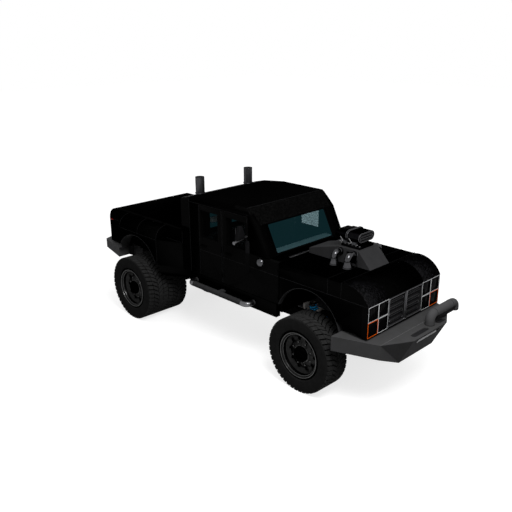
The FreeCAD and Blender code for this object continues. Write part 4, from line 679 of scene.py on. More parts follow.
def makeScoopTrim():
    low, high = boxOf("hood_scoop")
    crest = high[0] - scoopSlope
    half = high[1]
    x = crest - scoop["postBehind"]
    posts = rods([[(x, half + 0.004, low[2] + 0.012), (x, half + 0.004, high[2] - 0.012)]],
                 scoop["postRadius"], 12)
    makePiece("scoop_posts", bothSides(posts), "grilleTube")
    halfX, halfZ = scoop["ventHalf"]
    centre = (crest - scoop["ventInset"] - halfX, half + 0.001, low[2] + scoop["ventInset"] + halfZ)
    vent = loopIn(roundedRectangle(halfX, halfZ, 0.012, 4), 1, centre)
    makePiece("scoop_vent_beads", bothSides([sweep(vent, scoop["bead"], 8, True)]), "seam")
    y = half - scoop["edgeInset"]
    footX = high[0] - 0.002
    footZ = low[2] + 0.004
    edge = [(footX, -y, footZ), (crest, -y, high[2]), (crest, y, high[2]), (footX, y, footZ)]
    makePiece("scoop_edge_beads", rods(zip(edge, edge[1:]), scoop["edgeBead"]), "scoop")


# Grille: tube frames, stadium louvre rims and corner balls in front of the ribbed back

grille = {"tube": 0.0095, "inner": 0.024, "outerInset": 0.016, "corner": 0.030, "post": 0.007, "ball": 0.017,
          "louvres": 4, "louvreY": 0.2305, "louvreHalf": 0.183, "louvreRound": 0.019, "louvreInset": 0.026,
          "rimRound": 0.004, "bladeRound": 0.010}


def makeGrille():
    low, high = boxOf("grille")
    face, middleZ = high[0], middleOf("grille")[2]
    halfY = (high[1] - grille["outerInset"] - grille["inner"]) / 2
    halfZ = high[2] - middleZ - grille["outerInset"]
    loop = loopIn(roundedRectangle(halfY, halfZ, grille["corner"], 6), 0,
                  (face - 0.004, grille["inner"] + halfY, middleZ))
    t = np.linspace(0.05, math.pi - 0.05, 9)
    ball = grille["ball"] * np.stack([np.sin(t), np.cos(t)], axis=-1)
    knobs = [revolve(ball, (face - 0.002, y, low[2] + 0.020), 0, 20, False) for y in (0.0, high[1] - 0.012)]
    post = rods([[(face + 0.001, 0, low[2] + 0.020), (face + 0.001, 0, high[2] - 0.006)]], grille["post"], 12)
    tubes = bothSides([sweep(loop, grille["tube"], 12, True)]) + knobs + mirrored(knobs[1:]) + post
    makePiece("grille_tubes", tubes, "grilleTube")
    pitch = (high[2] - low[2] - 2 * grille["louvreInset"]) / grille["louvres"]
    bars = []
    blades = []
    for z in low[2] + grille["louvreInset"] + pitch * (np.arange(grille["louvres"]) + 0.5):
        slot = loopIn(stadium(grille["louvreHalf"], grille["louvreRound"]), 0,
                      (face - 0.018, grille["louvreY"], z))
        bars.append(sweep(slot, grille["rimRound"], 8, True))
        rings = []
        for t in np.linspace(0, math.pi / 2, 5):
            inset = grille["bladeRound"] * (1 - math.cos(t))
            flat = stadium(grille["louvreHalf"] - 0.006 - inset, grille["louvreRound"] - 0.004 - inset)
            x = face - 0.024 + grille["bladeRound"] * math.sin(t)
            rings.append(loopIn(flat, 0, (x, grille["louvreY"], z)))
        blades.append(loft(rings))
    makePiece("louvre_rims", bothSides(bars), "louvre")
    makePiece("louvre_blades", bothSides(blades), "grille")
    print("stage: grille")


# Lamps: fluted lenses, and black liners against each bezel's inner walls

lamp = {"startY": 0.480, "flute": 0.0045, "flutes": 6, "post": 0.011, "linerStand": 0.0145,
        "linerWall": 0.004}


def makeLamps():
    low, high = boxOf("lamp_glass")
    middleZ = middleOf("lamp_glass")[2]
    y0 = lamp["startY"]
    width = (high[1] - y0) / 2
    flutes = []
    for start in (y0, y0 + width + 0.0055):
        for z0, z1 in ((low[2] + 0.004, middleZ - 0.014), (middleZ + 0.014, high[2] - 0.004)):
            for y in np.linspace(start + 0.022, start + width - 0.0285, lamp["flutes"]):
                flutes.append(sweep([(high[0] + 0.001, y, z0), (high[0] + 0.001, y, z1)], lamp["flute"], 8))
    makePiece("lens_flutes", bothSides(flutes), "noseBlack")
    middleY = (high[1] + y0) / 2
    near = high[0] + 0.0005
    far = high[0] + lamp["linerStand"]
    liners = []
    for a0, a1 in ((y0, middleY - lamp["post"]), (middleY + lamp["post"], high[1])):
        for b0, b1 in ((low[2], middleZ - lamp["post"]), (middleZ + lamp["post"], high[2])):
            rings = []
            for inset, x in ((-0.0005, near), (-0.0005, far), (lamp["linerWall"], far),
                             (lamp["linerWall"], near)):
                flat = roundedRectangle((a1 - a0) / 2 - inset, (b1 - b0) / 2 - inset, 0.002, 3)
                rings.append(loopIn(flat, 0, (x, (a0 + a1) / 2, (b0 + b1) / 2)))
            liners.append(loft(rings, True))
    makePiece("bezel_liners", bothSides(liners), "lens")


# Bull bar: a bent tube with a seam ring at each end of a bend, a dark keel under it as painted shade of the
# tube's underside, and a short elbow at its far end

bull = {"radius": 0.074, "bend": 0.104, "nearY": 0.205, "farY": 0.900, "farBack": 0.165, "ring": 0.0035,
        "footRing": 0.005, "endX": 3.800, "endY": 0.945, "endZ": 1.425, "endFoot": 1.296, "endBend": 0.086,
        "shadeKeel": ((3.866, 1.392), (3.842, 1.300), (3.800, 1.285), (3.756, 1.330), (3.760, 1.400)),
        "shadeKeelY": (0.330, 0.930)}


def makeBullBar():
    low, high = boxOf("bull_bar")
    x = high[0] - bull["radius"]
    top = high[2] - bull["radius"]
    corners = [(x, bull["nearY"], low[2]), (x, bull["nearY"], top), (x, bull["farY"], top),
               (x - bull["farBack"], bull["farY"], low[2] + 0.012)]
    makePiece("bull_tube", [sweep(roundedPath(corners, bull["bend"], 16), bull["radius"], 40)], "bullTube",
              replaced=("bull_bar",))
    rings = [ringAbout((x, bull["nearY"], low[2] + 0.004), alongZ, bull["radius"] + 0.001, bull["footRing"])]
    for y in (bull["nearY"] + bull["bend"], bull["farY"] - bull["bend"]):
        rings.append(ringAbout((x, y, top), alongY, bull["radius"] - 0.001, bull["ring"]))
    makePiece("bull_tube_rings", rings, "seam")


# Bumper: a pale painted highlight along its fold, and dark painted shade in the two deck troughs

bumper = {"fold": ((3.686, -0.950, 1.2550), (3.686, 0.950, 1.2550)), "foldRadius": 0.0025,
          "troughX": (3.802, 3.888), "troughZ": (1.2312, 1.2360),
          "troughY": ((-0.357, 0.067), (0.343, 0.557))}


def makeBumperTrim():
    # a pale bead along the deck's front fold is a painted highlight
    makePiece("bumper_fold_highlight", rods([bumper["fold"]], bumper["foldRadius"]), "bumperEdgeHighlight")
    # painted shade: a dark keel below the tube stands for the tube's shaded underside
    shadeKeel = np.array(bull["shadeKeel"])
    rings = [np.stack([shadeKeel[:, 0], np.full(len(shadeKeel), y), shadeKeel[:, 1]], axis=-1) for y in bull["shadeKeelY"]]
    makePiece("bull_underside_shade", [loft(rings)], "seam", sharpDegrees=20)
    x, y, foot = [bull[key] for key in ("endX", "endY", "endFoot")]
    elbow = roundedPath([(x, 0.700, bull["endZ"]), (x, y, bull["endZ"]), (x, y, foot)], bull["endBend"], 12)
    radii = [bull["radius"] - 0.0005] * len(elbow) + [0.068, 0.050]
    end = sweep(np.concatenate([elbow, [(x, y, foot - 0.008), (x, y, foot - 0.010)]]), radii, 40)
    makePiece("bull_tube_end", [end], "bullTube")
    (x0, x1), (z0, z1) = bumper["troughX"], bumper["troughZ"]
    # dark plates on the trough floors are painted shade in the troughs
    liners = [roundedBox((x0, y0, z0), (x1, y1, z1), 0.001) for y0, y1 in bumper["troughY"]]
    makePiece("trough_painted_shade", liners, "seam")


# Step bars: bent tubes with polished elbows, seam rings and a middle bracket

step = {"radius": 0.050, "bend": 0.090, "foot": 0.046, "wall": 1.0003, "elbowStart": 0.030,
        "elbowEnd": 0.125, "elbowStand": 0.0015, "joints": 6, "jointInset": 0.23, "jointRing": 0.0025}


def makeStepBars():
    low, high = boxOf("step_bars")
    x0, x1, y = low[0] + step["radius"], high[0] - step["radius"], high[1] - step["radius"]
    x, z = middleOf("step_bars")[[0, 2]]
    wall, foot = step["wall"], step["foot"]
    path = roundedPath([(x0, wall, z), (x0, y, z), (x1, y, z), (x1, wall, z)], step["bend"], 14)
    bracket = roundedBox((x - foot, wall, z - foot / 2), (x + foot, y, z + foot / 2), 0.005, 1)
    makePiece("step_tubes", bothSides([sweep(path, step["radius"], 36), bracket]), "step",
              replaced=("step_bars",))
    elbows = []
    for end, ahead in ((x0, step["elbowEnd"]), (x1, -step["elbowEnd"])):
        bend = roundedPath([(end, wall + step["elbowStart"], z), (end, y, z), (end + ahead, y, z)],
                           step["bend"], 14)
        elbows.append(sweep(bend, step["radius"] + step["elbowStand"], 36))
    makePiece("step_elbows", bothSides(elbows), "elbow")
    joints = [ringAbout((place, y, z), alongX, step["radius"] + 0.0005, step["jointRing"])
              for place in np.linspace(x0 + step["jointInset"], x1 - step["jointInset"], step["joints"])]
    makePiece("step_joints", bothSides(joints), "seam")
    print("stage: bars")


# Mirrors: a bright arm, a wedge head with its glass, the door post under it and the dome lamp

mirror = {"footX": 0.0475, "armRadius": 0.032, "armZ": 2.320, "reach": 0.310, "drop": 0.050, "postX": 0.926,
          "post": ((1.692, 0.038), (1.700, 0.045), (2.230, 0.045), (2.260, 0.030)), "headY": (0.060, 0.250),
          "headTaper": 0.060, "headHeight": 0.216, "headDepth": 0.046, "headRound": 0.012, "headDrop": 0.020,
          "glassX": (-0.0495, -0.044), "glassY": (0.098, 0.212), "glassZ": (0.020, 0.190), "dome": 0.080,
          "domeZ": 1.952, "domeFoot": 0.004}


def makeMirrors():
    low, high = boxOf("mirror_left")
    x = low[0] + mirror["footX"]
    door = low[1]
    z = mirror["armZ"]
    end = z - mirror["drop"]
    radius = mirror["armRadius"]
    arm = sweep([(x, door + 0.002, z), (x, door + 0.020, z - 0.004),
                 (x, door + mirror["reach"] - 0.010, end + 0.002),
                 (x, door + mirror["reach"] - 0.002, end + 0.001)],
                [radius, radius - 0.001, radius - 0.001, radius - 0.012], 28)
    # the head is a lofted trapezium whose half depth shrinks by the fourth power towards its ends
    rings = []
    for share in np.linspace(0, 1, 9):
        y0 = door + mirror["headY"][0] + mirror["headTaper"] * share
        y1 = door + mirror["headY"][1] - mirror["headTaper"] * share
        depth = mirror["headDepth"] - mirror["headRound"] * (2 * share - 1) ** 4
        ring = loopIn(roundedRectangle(depth, (y1 - y0) / 2, 0.016, 4), 2,
                      (x, (y0 + y1) / 2, z + 0.002 + mirror["headHeight"] * share))
        ring[:, 2] -= mirror["headDrop"] * (1 - share) * (ring[:, 1] - y0) / (y1 - y0)
        rings.append(ring)
    postZ, postRadii = np.array(mirror["post"]).T
    post = sweep([(mirror["postX"], door, level) for level in postZ], postRadii, 28)
    corners = zip(mirror["glassX"], mirror["glassY"], mirror["glassZ"])
    glass = roundedBox(*[(x + a, door + b, z + c) for a, b, c in corners], 0.002, 0)
    wide = mirror["dome"] - 0.001
    foot = mirror["domeFoot"]
    t = np.linspace(0, math.pi / 2 - 0.03, 12)
    shell = np.stack([wide * np.cos(t), foot + (mirror["dome"] - foot) * np.sin(t)], axis=-1)
    centre = (high[0] - mirror["dome"], door, mirror["domeZ"])
    dome = revolve([(wide, 0.0), *shell], centre, 1, 40, False)
    base = revolve([(0.052, 0.0), (wide, 0.0), (wide, 0.010), (0.072, 0.014), (0.052, 0.014)], centre, 1, 40)
    makePairs(("mirror_arm_", [arm], "elbow", "mirror_chrome", "door_front_", "mirror_"),
              ("mirror_head_", [loft(rings), post], "mirrorShell", "mirror_chrome", "door_front_"),
              ("mirror_glass_", [glass], "chrome", "mirror_chrome", "door_front_"),
              ("door_dome_", [dome, base], "chrome", "mirror_chrome", "door_front_"))
    print("stage: mirrors")


# Suspension: blue coils round dampers, dark towers, tilted helper coils on pale hangers, rear axle clamps

coil = {"y": 0.072, "foot": 0.072, "radius": 0.0585, "wire": 0.0125, "turns": 7, "dead": 0.6, "plate": 0.026,
        "damper": ((0.010, 0.004), (0.030, 0.004), (0.030, 0.210), (0.022, 0.216), (0.010, 0.216)),
        "rod": 0.013, "rail": 0.4305, "towerFoot": 0.852, "cheek": 0.4565, "gussetX": 0.084}
helper = {"crown": (1.995, 0.508, 1.275), "eye": (2.200, 0.470, 0.705), "start": 0.020, "length": 0.290,
          "radius": 0.056, "wire": 0.0135, "turns": 7,
          "struts": ((0.0, 0.300, 0.030, 20), (-0.004, 0.010, 0.072, 28), (0.316, 0.328, 0.066, 28)),
          "hangers": ((1.820, 1.865, 0.452, 0.900, 1.250, 0.004),
                      (1.820, 1.865, 0.556, 1.150, 1.250, 0.006),
                      (2.110, 2.160, 0.452, 0.900, 1.215, 0.004),
                      (2.110, 2.160, 0.556, 1.110, 1.215, 0.006),
                      (1.850, 2.130, 0.445, 1.190, 1.215, 0.003), (1.960, 2.030, 0.445, 1.190, 1.285, 0.003))}
clamp = {"y": 0.035, "x": 0.085, "boltY": 0.046, "foot": -0.100, "head": 0.160, "bolt": 0.0085, "bar": 0.148}


def makeSprings():
    low, high = boxOf("front_springs")
    x, y = middleOf("front_springs")[0], high[1] - coil["y"]
    bottom = axleZ + coil["foot"]
    top = high[2] - coil["plate"]
    wire, rail = coil["wire"], coil["rail"]
    share = np.linspace(0, 1, 260)
    climb = np.clip((share * coil["turns"] - coil["dead"]) / (coil["turns"] - 2 * coil["dead"]), 0, 1)
    path = helix((x, y, bottom + wire), (0, 0, top - bottom - 2 * wire), alongX, alongY, coil["radius"],
                 coil["turns"], climb)
    makePiece("coil_springs", bothSides([sweep(path, wire, 12)]), "spring",
              replaced=("front_springs",))
    damper = revolve(coil["damper"], (x, y, bottom), 2, 28)
    rod = sweep([(x, y, bottom + 0.20), (x, y, top)], coil["rod"], 20)
    makePiece("front_dampers", bothSides([damper, rod]), "brightChrome")
    tower = [roundedBox((low[0], rail, coil["towerFoot"]), (high[0], coil["cheek"], high[2]), 0.004, 1),
             roundedBox((low[0], rail, top), high, 0.004)]
    for middle in (x - coil["gussetX"], x + coil["gussetX"]):
        tower.append(roundedBox((middle - 0.005, 0.450, top - 0.150), (middle + 0.005, 0.520, top), 0.002))
    makePiece("spring_towers", bothSides(tower), "chassis")
    heads = [(x + step, coil["cheek"], z) for step in (-0.06, 0.06) for z in (0.90, 0.98)]
    makePiece("tower_bolts", bothSides([boltHeads(heads, 1, 0.014, 0.014)]), "springSteel")

    crown, eye = np.array([helper["crown"], helper["eye"]])
    line = (eye - crown) / np.linalg.norm(eye - crown)
    across = np.cross(line, alongY)
    across /= np.linalg.norm(across)
    path = helix(crown + line * helper["start"], line * helper["length"], across, np.cross(line, across),
                 helper["radius"], helper["turns"], np.linspace(0, 1, 220))
    makePiece("helper_coils", bothSides([sweep(path, helper["wire"], 12)]), "spring")
    struts = [sweep([crown + line * start, crown + line * end], radius, count)
              for start, end, radius, count in helper["struts"]]
    struts.append(sweep([crown + line * helper["length"], eye], 0.014, 16))
    makePiece("helper_struts", bothSides(struts), "springSteel")
    hangers = [roundedBox((x0, rail, z0), (x1, y1, z1), bevel, 1)
               for x0, x1, y1, z0, z1, bevel in helper["hangers"]]
    makePiece("strut_hangers", bothSides(hangers), "bracket")

    x, y = middleOf("leaf_springs")[0], boxOf("leaf_springs")[1][1] - clamp["y"]
    clamps = []
    for middle in (x - clamp["x"], x + clamp["x"]):
        bolts = [[(middle, y + step, axleZ + clamp["foot"]), (middle, y + step, axleZ + clamp["head"])]
                 for step in (-clamp["boltY"], clamp["boltY"])]
        bar = [(middle, y - 0.050, axleZ + clamp["bar"]), (middle, y + 0.050, axleZ + clamp["bar"])]
        clamps += rods(bolts + [bar], clamp["bolt"], 12)
    clamps.append(roundedBox((x - 0.110, y - 0.062, axleZ - 0.092), (x + 0.110, y + 0.062, axleZ - 0.076),
                             0.003))
    clamps += rods([[(x + 0.10, y - 0.085, axleZ - 0.040), (x + 0.30, y - 0.085, 0.900)]], 0.024, 20)
    makePiece("axle_clamps", bothSides(clamps), "springSteel")
    print("stage: suspension")


# Cabin: padded leather seats with sewn channels, a padded wheel rim and dials

seat = {"half": 0.25, "depth": 0.52, "cushion": 0.18, "back": 0.70, "backThickness": 0.15, "base": 1.56,
        "floor": 1.182, "channelDepth": 0.010, "channelWidth": 0.008, "channelSpan": 0.62, "power": 0.30,
        "crown": 0.06, "clear": 0.004, "benchRest": 2.16, "benchHead": 0.30, "headHalf": 0.13,
        "postX": 0.075, "postRadius": 0.007, "bolster": ((0.030, 0.390, 2.225), (0.110, 0.640, 2.330))}


def signedPower(value):
    return np.sign(value) * np.abs(value) ** seat["power"]


def pad(low, high, channels):
    # superellipsoid: half size * signed powers of cos and sin, with a Gaussian groove at each sewn channel
    low = np.array(low) + seat["clear"]
    high = np.array(high) - seat["clear"]
    half = (high - low) / 2
    bend = np.linspace(-math.pi / 2 + 0.02, math.pi / 2 - 0.02, 34)[:, None]
    turn = np.linspace(0, 2 * math.pi, 88, endpoint=False)
    ring = signedPower(np.cos(bend))
    level = np.broadcast_to(signedPower(np.sin(bend)), (len(bend), len(turn)))
    crown = 1 - seat["crown"] * (1 - np.abs(level)) * (1 - np.cos(2 * turn) ** 2)
    shape = [ring * signedPower(np.cos(turn)) * crown, ring * signedPower(np.sin(turn)) * crown, level]
    points = np.stack(shape, axis=-1) * half
    spots = np.linspace(-seat["channelSpan"], seat["channelSpan"], channels) * half[1]
    groove = sum(np.exp(-((points[..., 1] - spot) / seat["channelWidth"]) ** 2) for spot in spots)
    thin = int(np.argmin(half))
    points[..., thin] -= np.sign(points[..., thin]) * seat["channelDepth"] * np.minimum(groove, 1)
    return loft(points + (low + high) / 2)


def makeSeats():
    low, high = boxOf("seats")
    half, base = seat["half"], seat["base"]
    seatY = high[1] - half
    top = base + seat["cushion"]
    frontX = high[0] - seat["depth"]
    # name, x, low and high y, channels, top of the rest, middles of the head rests, replaced node
    rows = (("seat_left", frontX, seatY - half, seatY + half, 4, top + seat["back"], (seatY,), ("seats",)),
            ("seat_right", frontX, -seatY - half, half - seatY, 4, top + seat["back"], (-seatY,), ()),
            ("rear_bench", low[0], -seatY - half, seatY + half, 9, seat["benchRest"],
             (-seat["benchHead"], seat["benchHead"]), ()))
    joints = []
    for name, x, y0, y1, channels, rest, heads, replaced in rows:
        chunks = [pad((x, y0, base), (x + seat["depth"], y1, top), channels),
                  pad((x, y0, top - 0.020), (x + seat["backThickness"], y1, rest - 0.140), channels)]
        for y in heads:
            chunks.append(pad((x + 0.020, y - seat["headHalf"], rest - 0.125),
                              (x + 0.130, y + seat["headHalf"], rest + 0.002), 1))
            posts = [[(x + seat["postX"], y + step, z) for z in (rest - 0.17, rest - 0.10)]
                     for step in (-0.06, 0.06)]
            joints += rods(posts, seat["postRadius"])
        piece = makePiece(name, chunks, "leather", "truck", 50, replaced)
        joints.append(roundedBox((x + 0.050, y0 + 0.050, seat["floor"]),
                                 (x + seat["depth"] - 0.050, y1 - 0.050, base + 0.012), 0.010))
    makePiece("seat_bases", joints, "chassis")
    bolster = [roundedBox(*[(low[0] + x, y, z) for x, y, z in seat["bolster"]], 0.020),
               sweep([(low[0] + 0.070, 0.515, 2.200), (low[0] + 0.070, 0.515, 2.235)], 0.008, 10)]
    makePiece("rear_bolsters", bothSides(bolster), "dashTop")


steering = {"base": (1.244, 1.780), "radius": 0.200, "grip": 0.0150, "hub": 0.048, "tilt": 25,
            "column": 0.026, "columnStart": 0.0555, "length": 0.163}
dash = {"dialY": (-0.11, 0.0, 0.11), "dialDrop": 0.085, "dial": 0.043, "ventY": (-0.72, -0.30, 0.02, 0.78),
        "ventHalf": 0.06, "topHalf": 0.745, "topEnd": (1.340, 2.085), "topRound": 0.018}


def makeSteeringWheel():
    tilt = math.radians(steering["tilt"])
    axis = np.array([-math.cos(tilt), 0, math.sin(tilt)])
    up = np.array([math.sin(tilt), 0, math.cos(tilt)])
    y = boxOf("seats")[1][1] - seat["half"]
    base = np.array([steering["base"][0], y, steering["base"][1]])
    centre = base + axis * steering["length"]
    radius, hub = steering["radius"], steering["hub"]
    parts = [ringAbout(centre, axis, radius, steering["grip"], 72, 14)]
    for spoke in (alongY, -alongY, -up):
        parts.append(sweep([centre + spoke * 0.030, centre + spoke * (radius - 0.010)], [0.018, 0.012], 12))
    parts += [sweep([centre - axis * 0.016, centre + axis * 0.004, centre + axis * 0.012],
                    [hub, hub, hub * 0.7], 32),
              sweep([base + axis * steering["columnStart"], centre - axis * 0.012], steering["column"], 24)]
    makePiece("hand_wheel", parts, "gasket", "steering_wheel", replaced=("steering_wheel",))

    low, high = boxOf("dashboard")
    x = low[0] + 0.040
    z = high[2] - dash["dialDrop"]
    disc = [(0.001, -0.006), (dash["dial"], -0.006), (dash["dial"], 0.004), (0.001, 0.004)]
    faces = [revolve(disc, (x, y + step, z), 0, 32) for step in dash["dialY"]]
    faces += [roundedBox((x - 0.010, vent - dash["ventHalf"], high[2] - 0.115),
                         (x + 0.004, vent + dash["ventHalf"], high[2] - 0.065), 0.004, 0)
              for vent in dash["ventY"]]
    makePiece("dash_dials", faces, "dial")
    half, end = dash["topHalf"], dash["topEnd"]
    top = roundedBox((low[0] + 0.004, -half, high[2] - 0.006), (end[0], half, end[1]), dash["topRound"])
    makePiece("dash_top", [top], "dashTop")
    rings = [ringAbout((x - 0.004, y + step, z), alongX, 0.045, 0.004, 32) for step in dash["dialY"]]
    makePiece("dial_rims", rings, "brightChrome")
    print("stage: cabin")


# Seams and mouldings: thin half-round beads where the real panels meet, paler than the black paint as painted
# highlights along the panel edges

seams = {"radius": 0.0024, "side": 1.0, "belt": 1.801, "beltFront": 3.455, "hoodX": (2.6945, 2.957),
         "foot": 1.31, "doorTop": 2.655, "roofFront": 0.893, "gutterZ": 2.672, "gutterX": 0.905,
         "frontBeltEnd": 1.648, "rearDoor": 0.622, "fenderX": (-1.412, -2.050, -2.688), "fenderFoot": 1.30,
         "fenderWall": 1.0003}


def makeSeams():
    r, side, belt = seams["radius"], seams["side"], seams["belt"]
    hoodTop = boxOf("front_fenders")[1][2]
    rear, roof = boxOf("roof")[0][0], boxOf("roof")[1][2]
    shroud = boxOf("stack_shroud")[0][0]
    bedLow, bedHigh = boxOf("bed_box")
    body = [((boxOf("hood")[0][0] + 0.012, side, belt), (seams["beltFront"], side, belt)),
            ((shroud - 0.010, side, belt), (bedLow[0] + 0.060, side, belt)),
            ((shroud, side, belt), (shroud, side, bedHigh[2] - 0.010)),
            ((rear - 0.006, side, seams["fenderFoot"]), (rear - 0.006, side, roof - 0.100))]
    body += [((x, side, belt), (x, side, hoodTop - 0.003)) for x in seams["hoodX"]]
    makePiece("body_seams", bothSides(rods(body, r)), "seam")
    hood = [((x, 0.004 - side, hoodTop), (x, side - 0.004, hoodTop)) for x in seams["hoodX"]]
    makePiece("hood_seams", rods(hood, r), "chassis")
    across = [((x, inset - side, z), (x, side - inset, z))
              for x, inset, z in ((seams["roofFront"], 0.020, roof), (rear, 0.030, roof - 0.060))]
    gutter = [((rear, side, seams["gutterZ"]), (0.900, side, seams["gutterZ"])),
              ((seams["gutterX"], side, 2.565), (seams["gutterX"], side, 2.715))]
    makePiece("roof_seams", rods(across, r) + bothSides(rods(gutter, r)), "seam")
    front = boxOf("door_front_left")[0][0]
    back = boxOf("door_rear_left")[0][0] + 0.003
    end = boxOf("door_rear_left")[0][0] + seams["rearDoor"]
    upright = [((x, side, seams["foot"]), (x, side, seams["doorTop"])) for x in (front + 0.003, back, end)]
    frontDoor = rods([((front + 0.004, side, belt), (seams["frontBeltEnd"], side, belt)), upright[0]], r)
    rearDoor = rods([((back, side, belt), (end - 0.004, side, belt)), *upright[1:]], r)
    makePairs(("door_seams_front_", frontDoor, "seam", "trim_paint", "door_front_"),
              ("door_seams_rear_", rearDoor, "seam", "trim_paint", "door_rear_"))
    fender = boxOf("rear_fenders")[1]
    crown = fender[2] - belt
    t = np.linspace(0.04, math.pi / 2 - 0.02, 16)
    beads = []
    for x in seams["fenderX"]:
        arc = np.stack([np.full(16, x), seams["fenderWall"] + crown * np.cos(t), belt + crown * np.sin(t)],
                       axis=-1)
        beads.append(sweep(arc, r, 8))
    first, last = seams["fenderX"][::2]
    beads += rods([((first, fender[1], seams["fenderFoot"]), (first, fender[1], belt)),
                   ((last, fender[1], belt), (first, fender[1], belt))], r)
    makePiece("fender_crown_beads", bothSides(beads), "seam")
    print("stage: seams")


# Windows: rubber gaskets and the cowl strip

glazing = {"foot": (1.384, 0, 2.060), "head": (1.126, 0, 2.552), "half": 0.749, "inset": 0.006,
           "gasket": 0.016, "rearHalf": 0.552, "rearX": -0.611, "rearInset": 0.014, "rearGasket": 0.010,
           "round": 0.040, "doorRound": 0.030, "doorGasket": 0.009, "doorStand": 0.004,
           "cowlX": (1.600, 1.650), "cowlHalf": 0.700}


def makeGlazing():
    foot, head = np.array([glazing["foot"], glazing["head"]])
    height = np.linalg.norm(head - foot)
    flat = roundedRectangle(glazing["half"], height / 2 - glazing["inset"], glazing["round"], 6)
    loop = (foot + head) / 2 + flat @ np.array([alongY, (head - foot) / height])
    makePiece("windshield_gasket", [sweep(loop, glazing["gasket"], 10, True)], "gasket")
    middle = middleOf("cab_glass")[2]
    halfZ = boxOf("cab_glass")[1][2] - middle - glazing["rearInset"]
    rear = loopIn(roundedRectangle(glazing["rearHalf"], halfZ, glazing["round"], 6), 0,
                  (glazing["rearX"], 0, middle))
    makePiece("rear_window_gasket", [sweep(rear, glazing["rearGasket"], 10, True)], "gasket")
    rows = []
    for door in ("front_", "rear_"):
        high, middle = boxOf("glass_" + door + "left")[1], middleOf("glass_" + door + "left")
        halfX, halfZ = (high - middle)[[0, 2]] - glazing["inset"]
        loop = loopIn(roundedRectangle(halfX, halfZ, glazing["doorRound"], 6), 1,
                      (middle[0], high[1] + glazing["doorStand"], middle[2]))
        gasket = sweep(loop, glazing["doorGasket"], 10, True)
        rows.append(("gasket_" + door, [gasket], "gasket", "window_glass", "door_" + door))
    makePairs(*rows)
    top = boxOf("hood")[1][2]
    (x0, x1), half = glazing["cowlX"], glazing["cowlHalf"]
    cowl = [roundedBox((x0, -half, top - 0.004), (x1, half, top + 0.006), 0.003)]
    cowl += [roundedBox((x0 + 0.006, y, top + 0.004), (x1 - 0.006, y + 0.012, top + 0.012), 0.002)
             for y in np.arange(-0.69, 0.68, 0.030)]
    makePiece("cowl_strip", cowl, "grilleTube")
    print("stage: glazing")


# Bed: rolled floor ribs, rail caps, stake seams and marker lamps; the tailgate's handle; the door handles

bed = {"floor": 1.420, "ribs": 11, "ribY": 0.78, "ribHalf": 0.030, "stakeX": (-1.56, -2.30, -2.95),
       "capX": ((-3.18, -2.34), (-2.26, -1.60), (-1.52, -0.98)), "capY": (0.915, 0.985),
       "marker": ((-3.440, 0.998, 1.778), (-3.330, 1.006, 1.796)), "gateZ": 1.600,
       "gateHalf": (0.760, 0.190)}
grip = {"frontX": 0.17, "rearX": 0.12, "half": 0.07, "y": (0.998, 1.030), "z": 1.90, "bend": 0.018,
        "radius": 0.009, "cupX": 0.085, "cupZ": 0.022}


def makeBed():
    low, high = boxOf("bed_box")
    front = boxOf("stack_shroud")[0][0] - 0.060
    floor = bed["floor"]
    half = bed["ribHalf"]
    ribs = [roundedBox((low[0] + 0.262, y - half, floor - 0.002), (front, y + half, floor + 0.012), 0.005)
            for y in np.linspace(-bed["ribY"], bed["ribY"], bed["ribs"])]
    makePiece("bed_floor_ribs", ribs, "body")
    y0, y1 = bed["capY"]
    caps = [roundedBox((x0, y0, high[2] - 0.004), (x1, y1, high[2] + 0.0015), 0.002)
            for x0, x1 in bed["capX"]]
    makePiece("bed_rail_caps", bothSides(caps), "gasket")
    stakes = rods([[(x, 0.8985, 1.600), (x, 0.8985, high[2] - 0.050)] for x in bed["stakeX"]], 0.003)
    makePiece("bed_stake_seams", bothSides(stakes), "seam")
    makePiece("side_markers", bothSides([roundedBox(*bed["marker"], 0.002, 1)]), "red")

    x = boxOf("tailgate")[0][0]
    handle = [roundedBox((x - 0.020, -0.090, 1.800), (x - 0.004, 0.090, 1.830), 0.006, 1),
              roundedBox((x - 0.006, -0.110, 1.770), (x + 0.002, 0.110, 1.850), 0.003, 0)]
    makePiece("tailgate_handle", handle, "gasket", "tailgate")
    panel = loopIn(roundedRectangle(*bed["gateHalf"], 0.030, 6), 0, (x, 0, bed["gateZ"]))
    makePiece("tailgate_bead", [sweep(panel, 0.004, 8, True)], "seam", "tailgate")

    rows = []
    (y0, y1), z, bend = grip["y"], grip["z"], grip["bend"]
    for door in ("front", "rear"):
        x = boxOf("door_" + door + "_left")[0][0] + grip[door + "X"]
        start, end = x - grip["half"], x + grip["half"]
        bar = sweep(roundedPath([(start, y0, z), (start, y1, z), (end, y1, z), (end, y0, z)], bend, 6),
                    grip["radius"], 12)
        cup = roundedBox((x - grip["cupX"], y0, z - grip["cupZ"]),
                         (x + grip["cupX"], y0 + 0.005, z + grip["cupZ"]), 0.002, 1)
        rows.append(("door_handle_" + door + "_", [bar, cup], "gasket", "trim_paint", "door_" + door + "_"))
    makePairs(*rows)
    print("stage: bed and handles")


# Stacks: a rolled lip and clamp rings, as (z, step from the tube's radius, thickness)

stacks = {"radius": 0.086, "lipDrop": 0.004, "ringDrop": 0.100, "clampZ": 2.750}


def makeStacks():
    low, high = boxOf("exhaust_stacks")
    radius = stacks["radius"]
    rows = ((high[2] - stacks["lipDrop"], -0.003, 0.0045), (high[2] - stacks["ringDrop"], -0.001, 0.0035),
            (stacks["clampZ"], 0.004, 0.009))
    rings = [ringAbout((low[0] + radius, high[1] - radius, z), alongZ, radius + reach, thickness, 64)
             for z, reach, thickness in rows]
    makePiece("stack_rings", bothSides(rings), "stack")
    print("stage: stacks")


# CAD nodes keep their shape: each has a finish and a bevel in mm, and its curves are shaded smooth

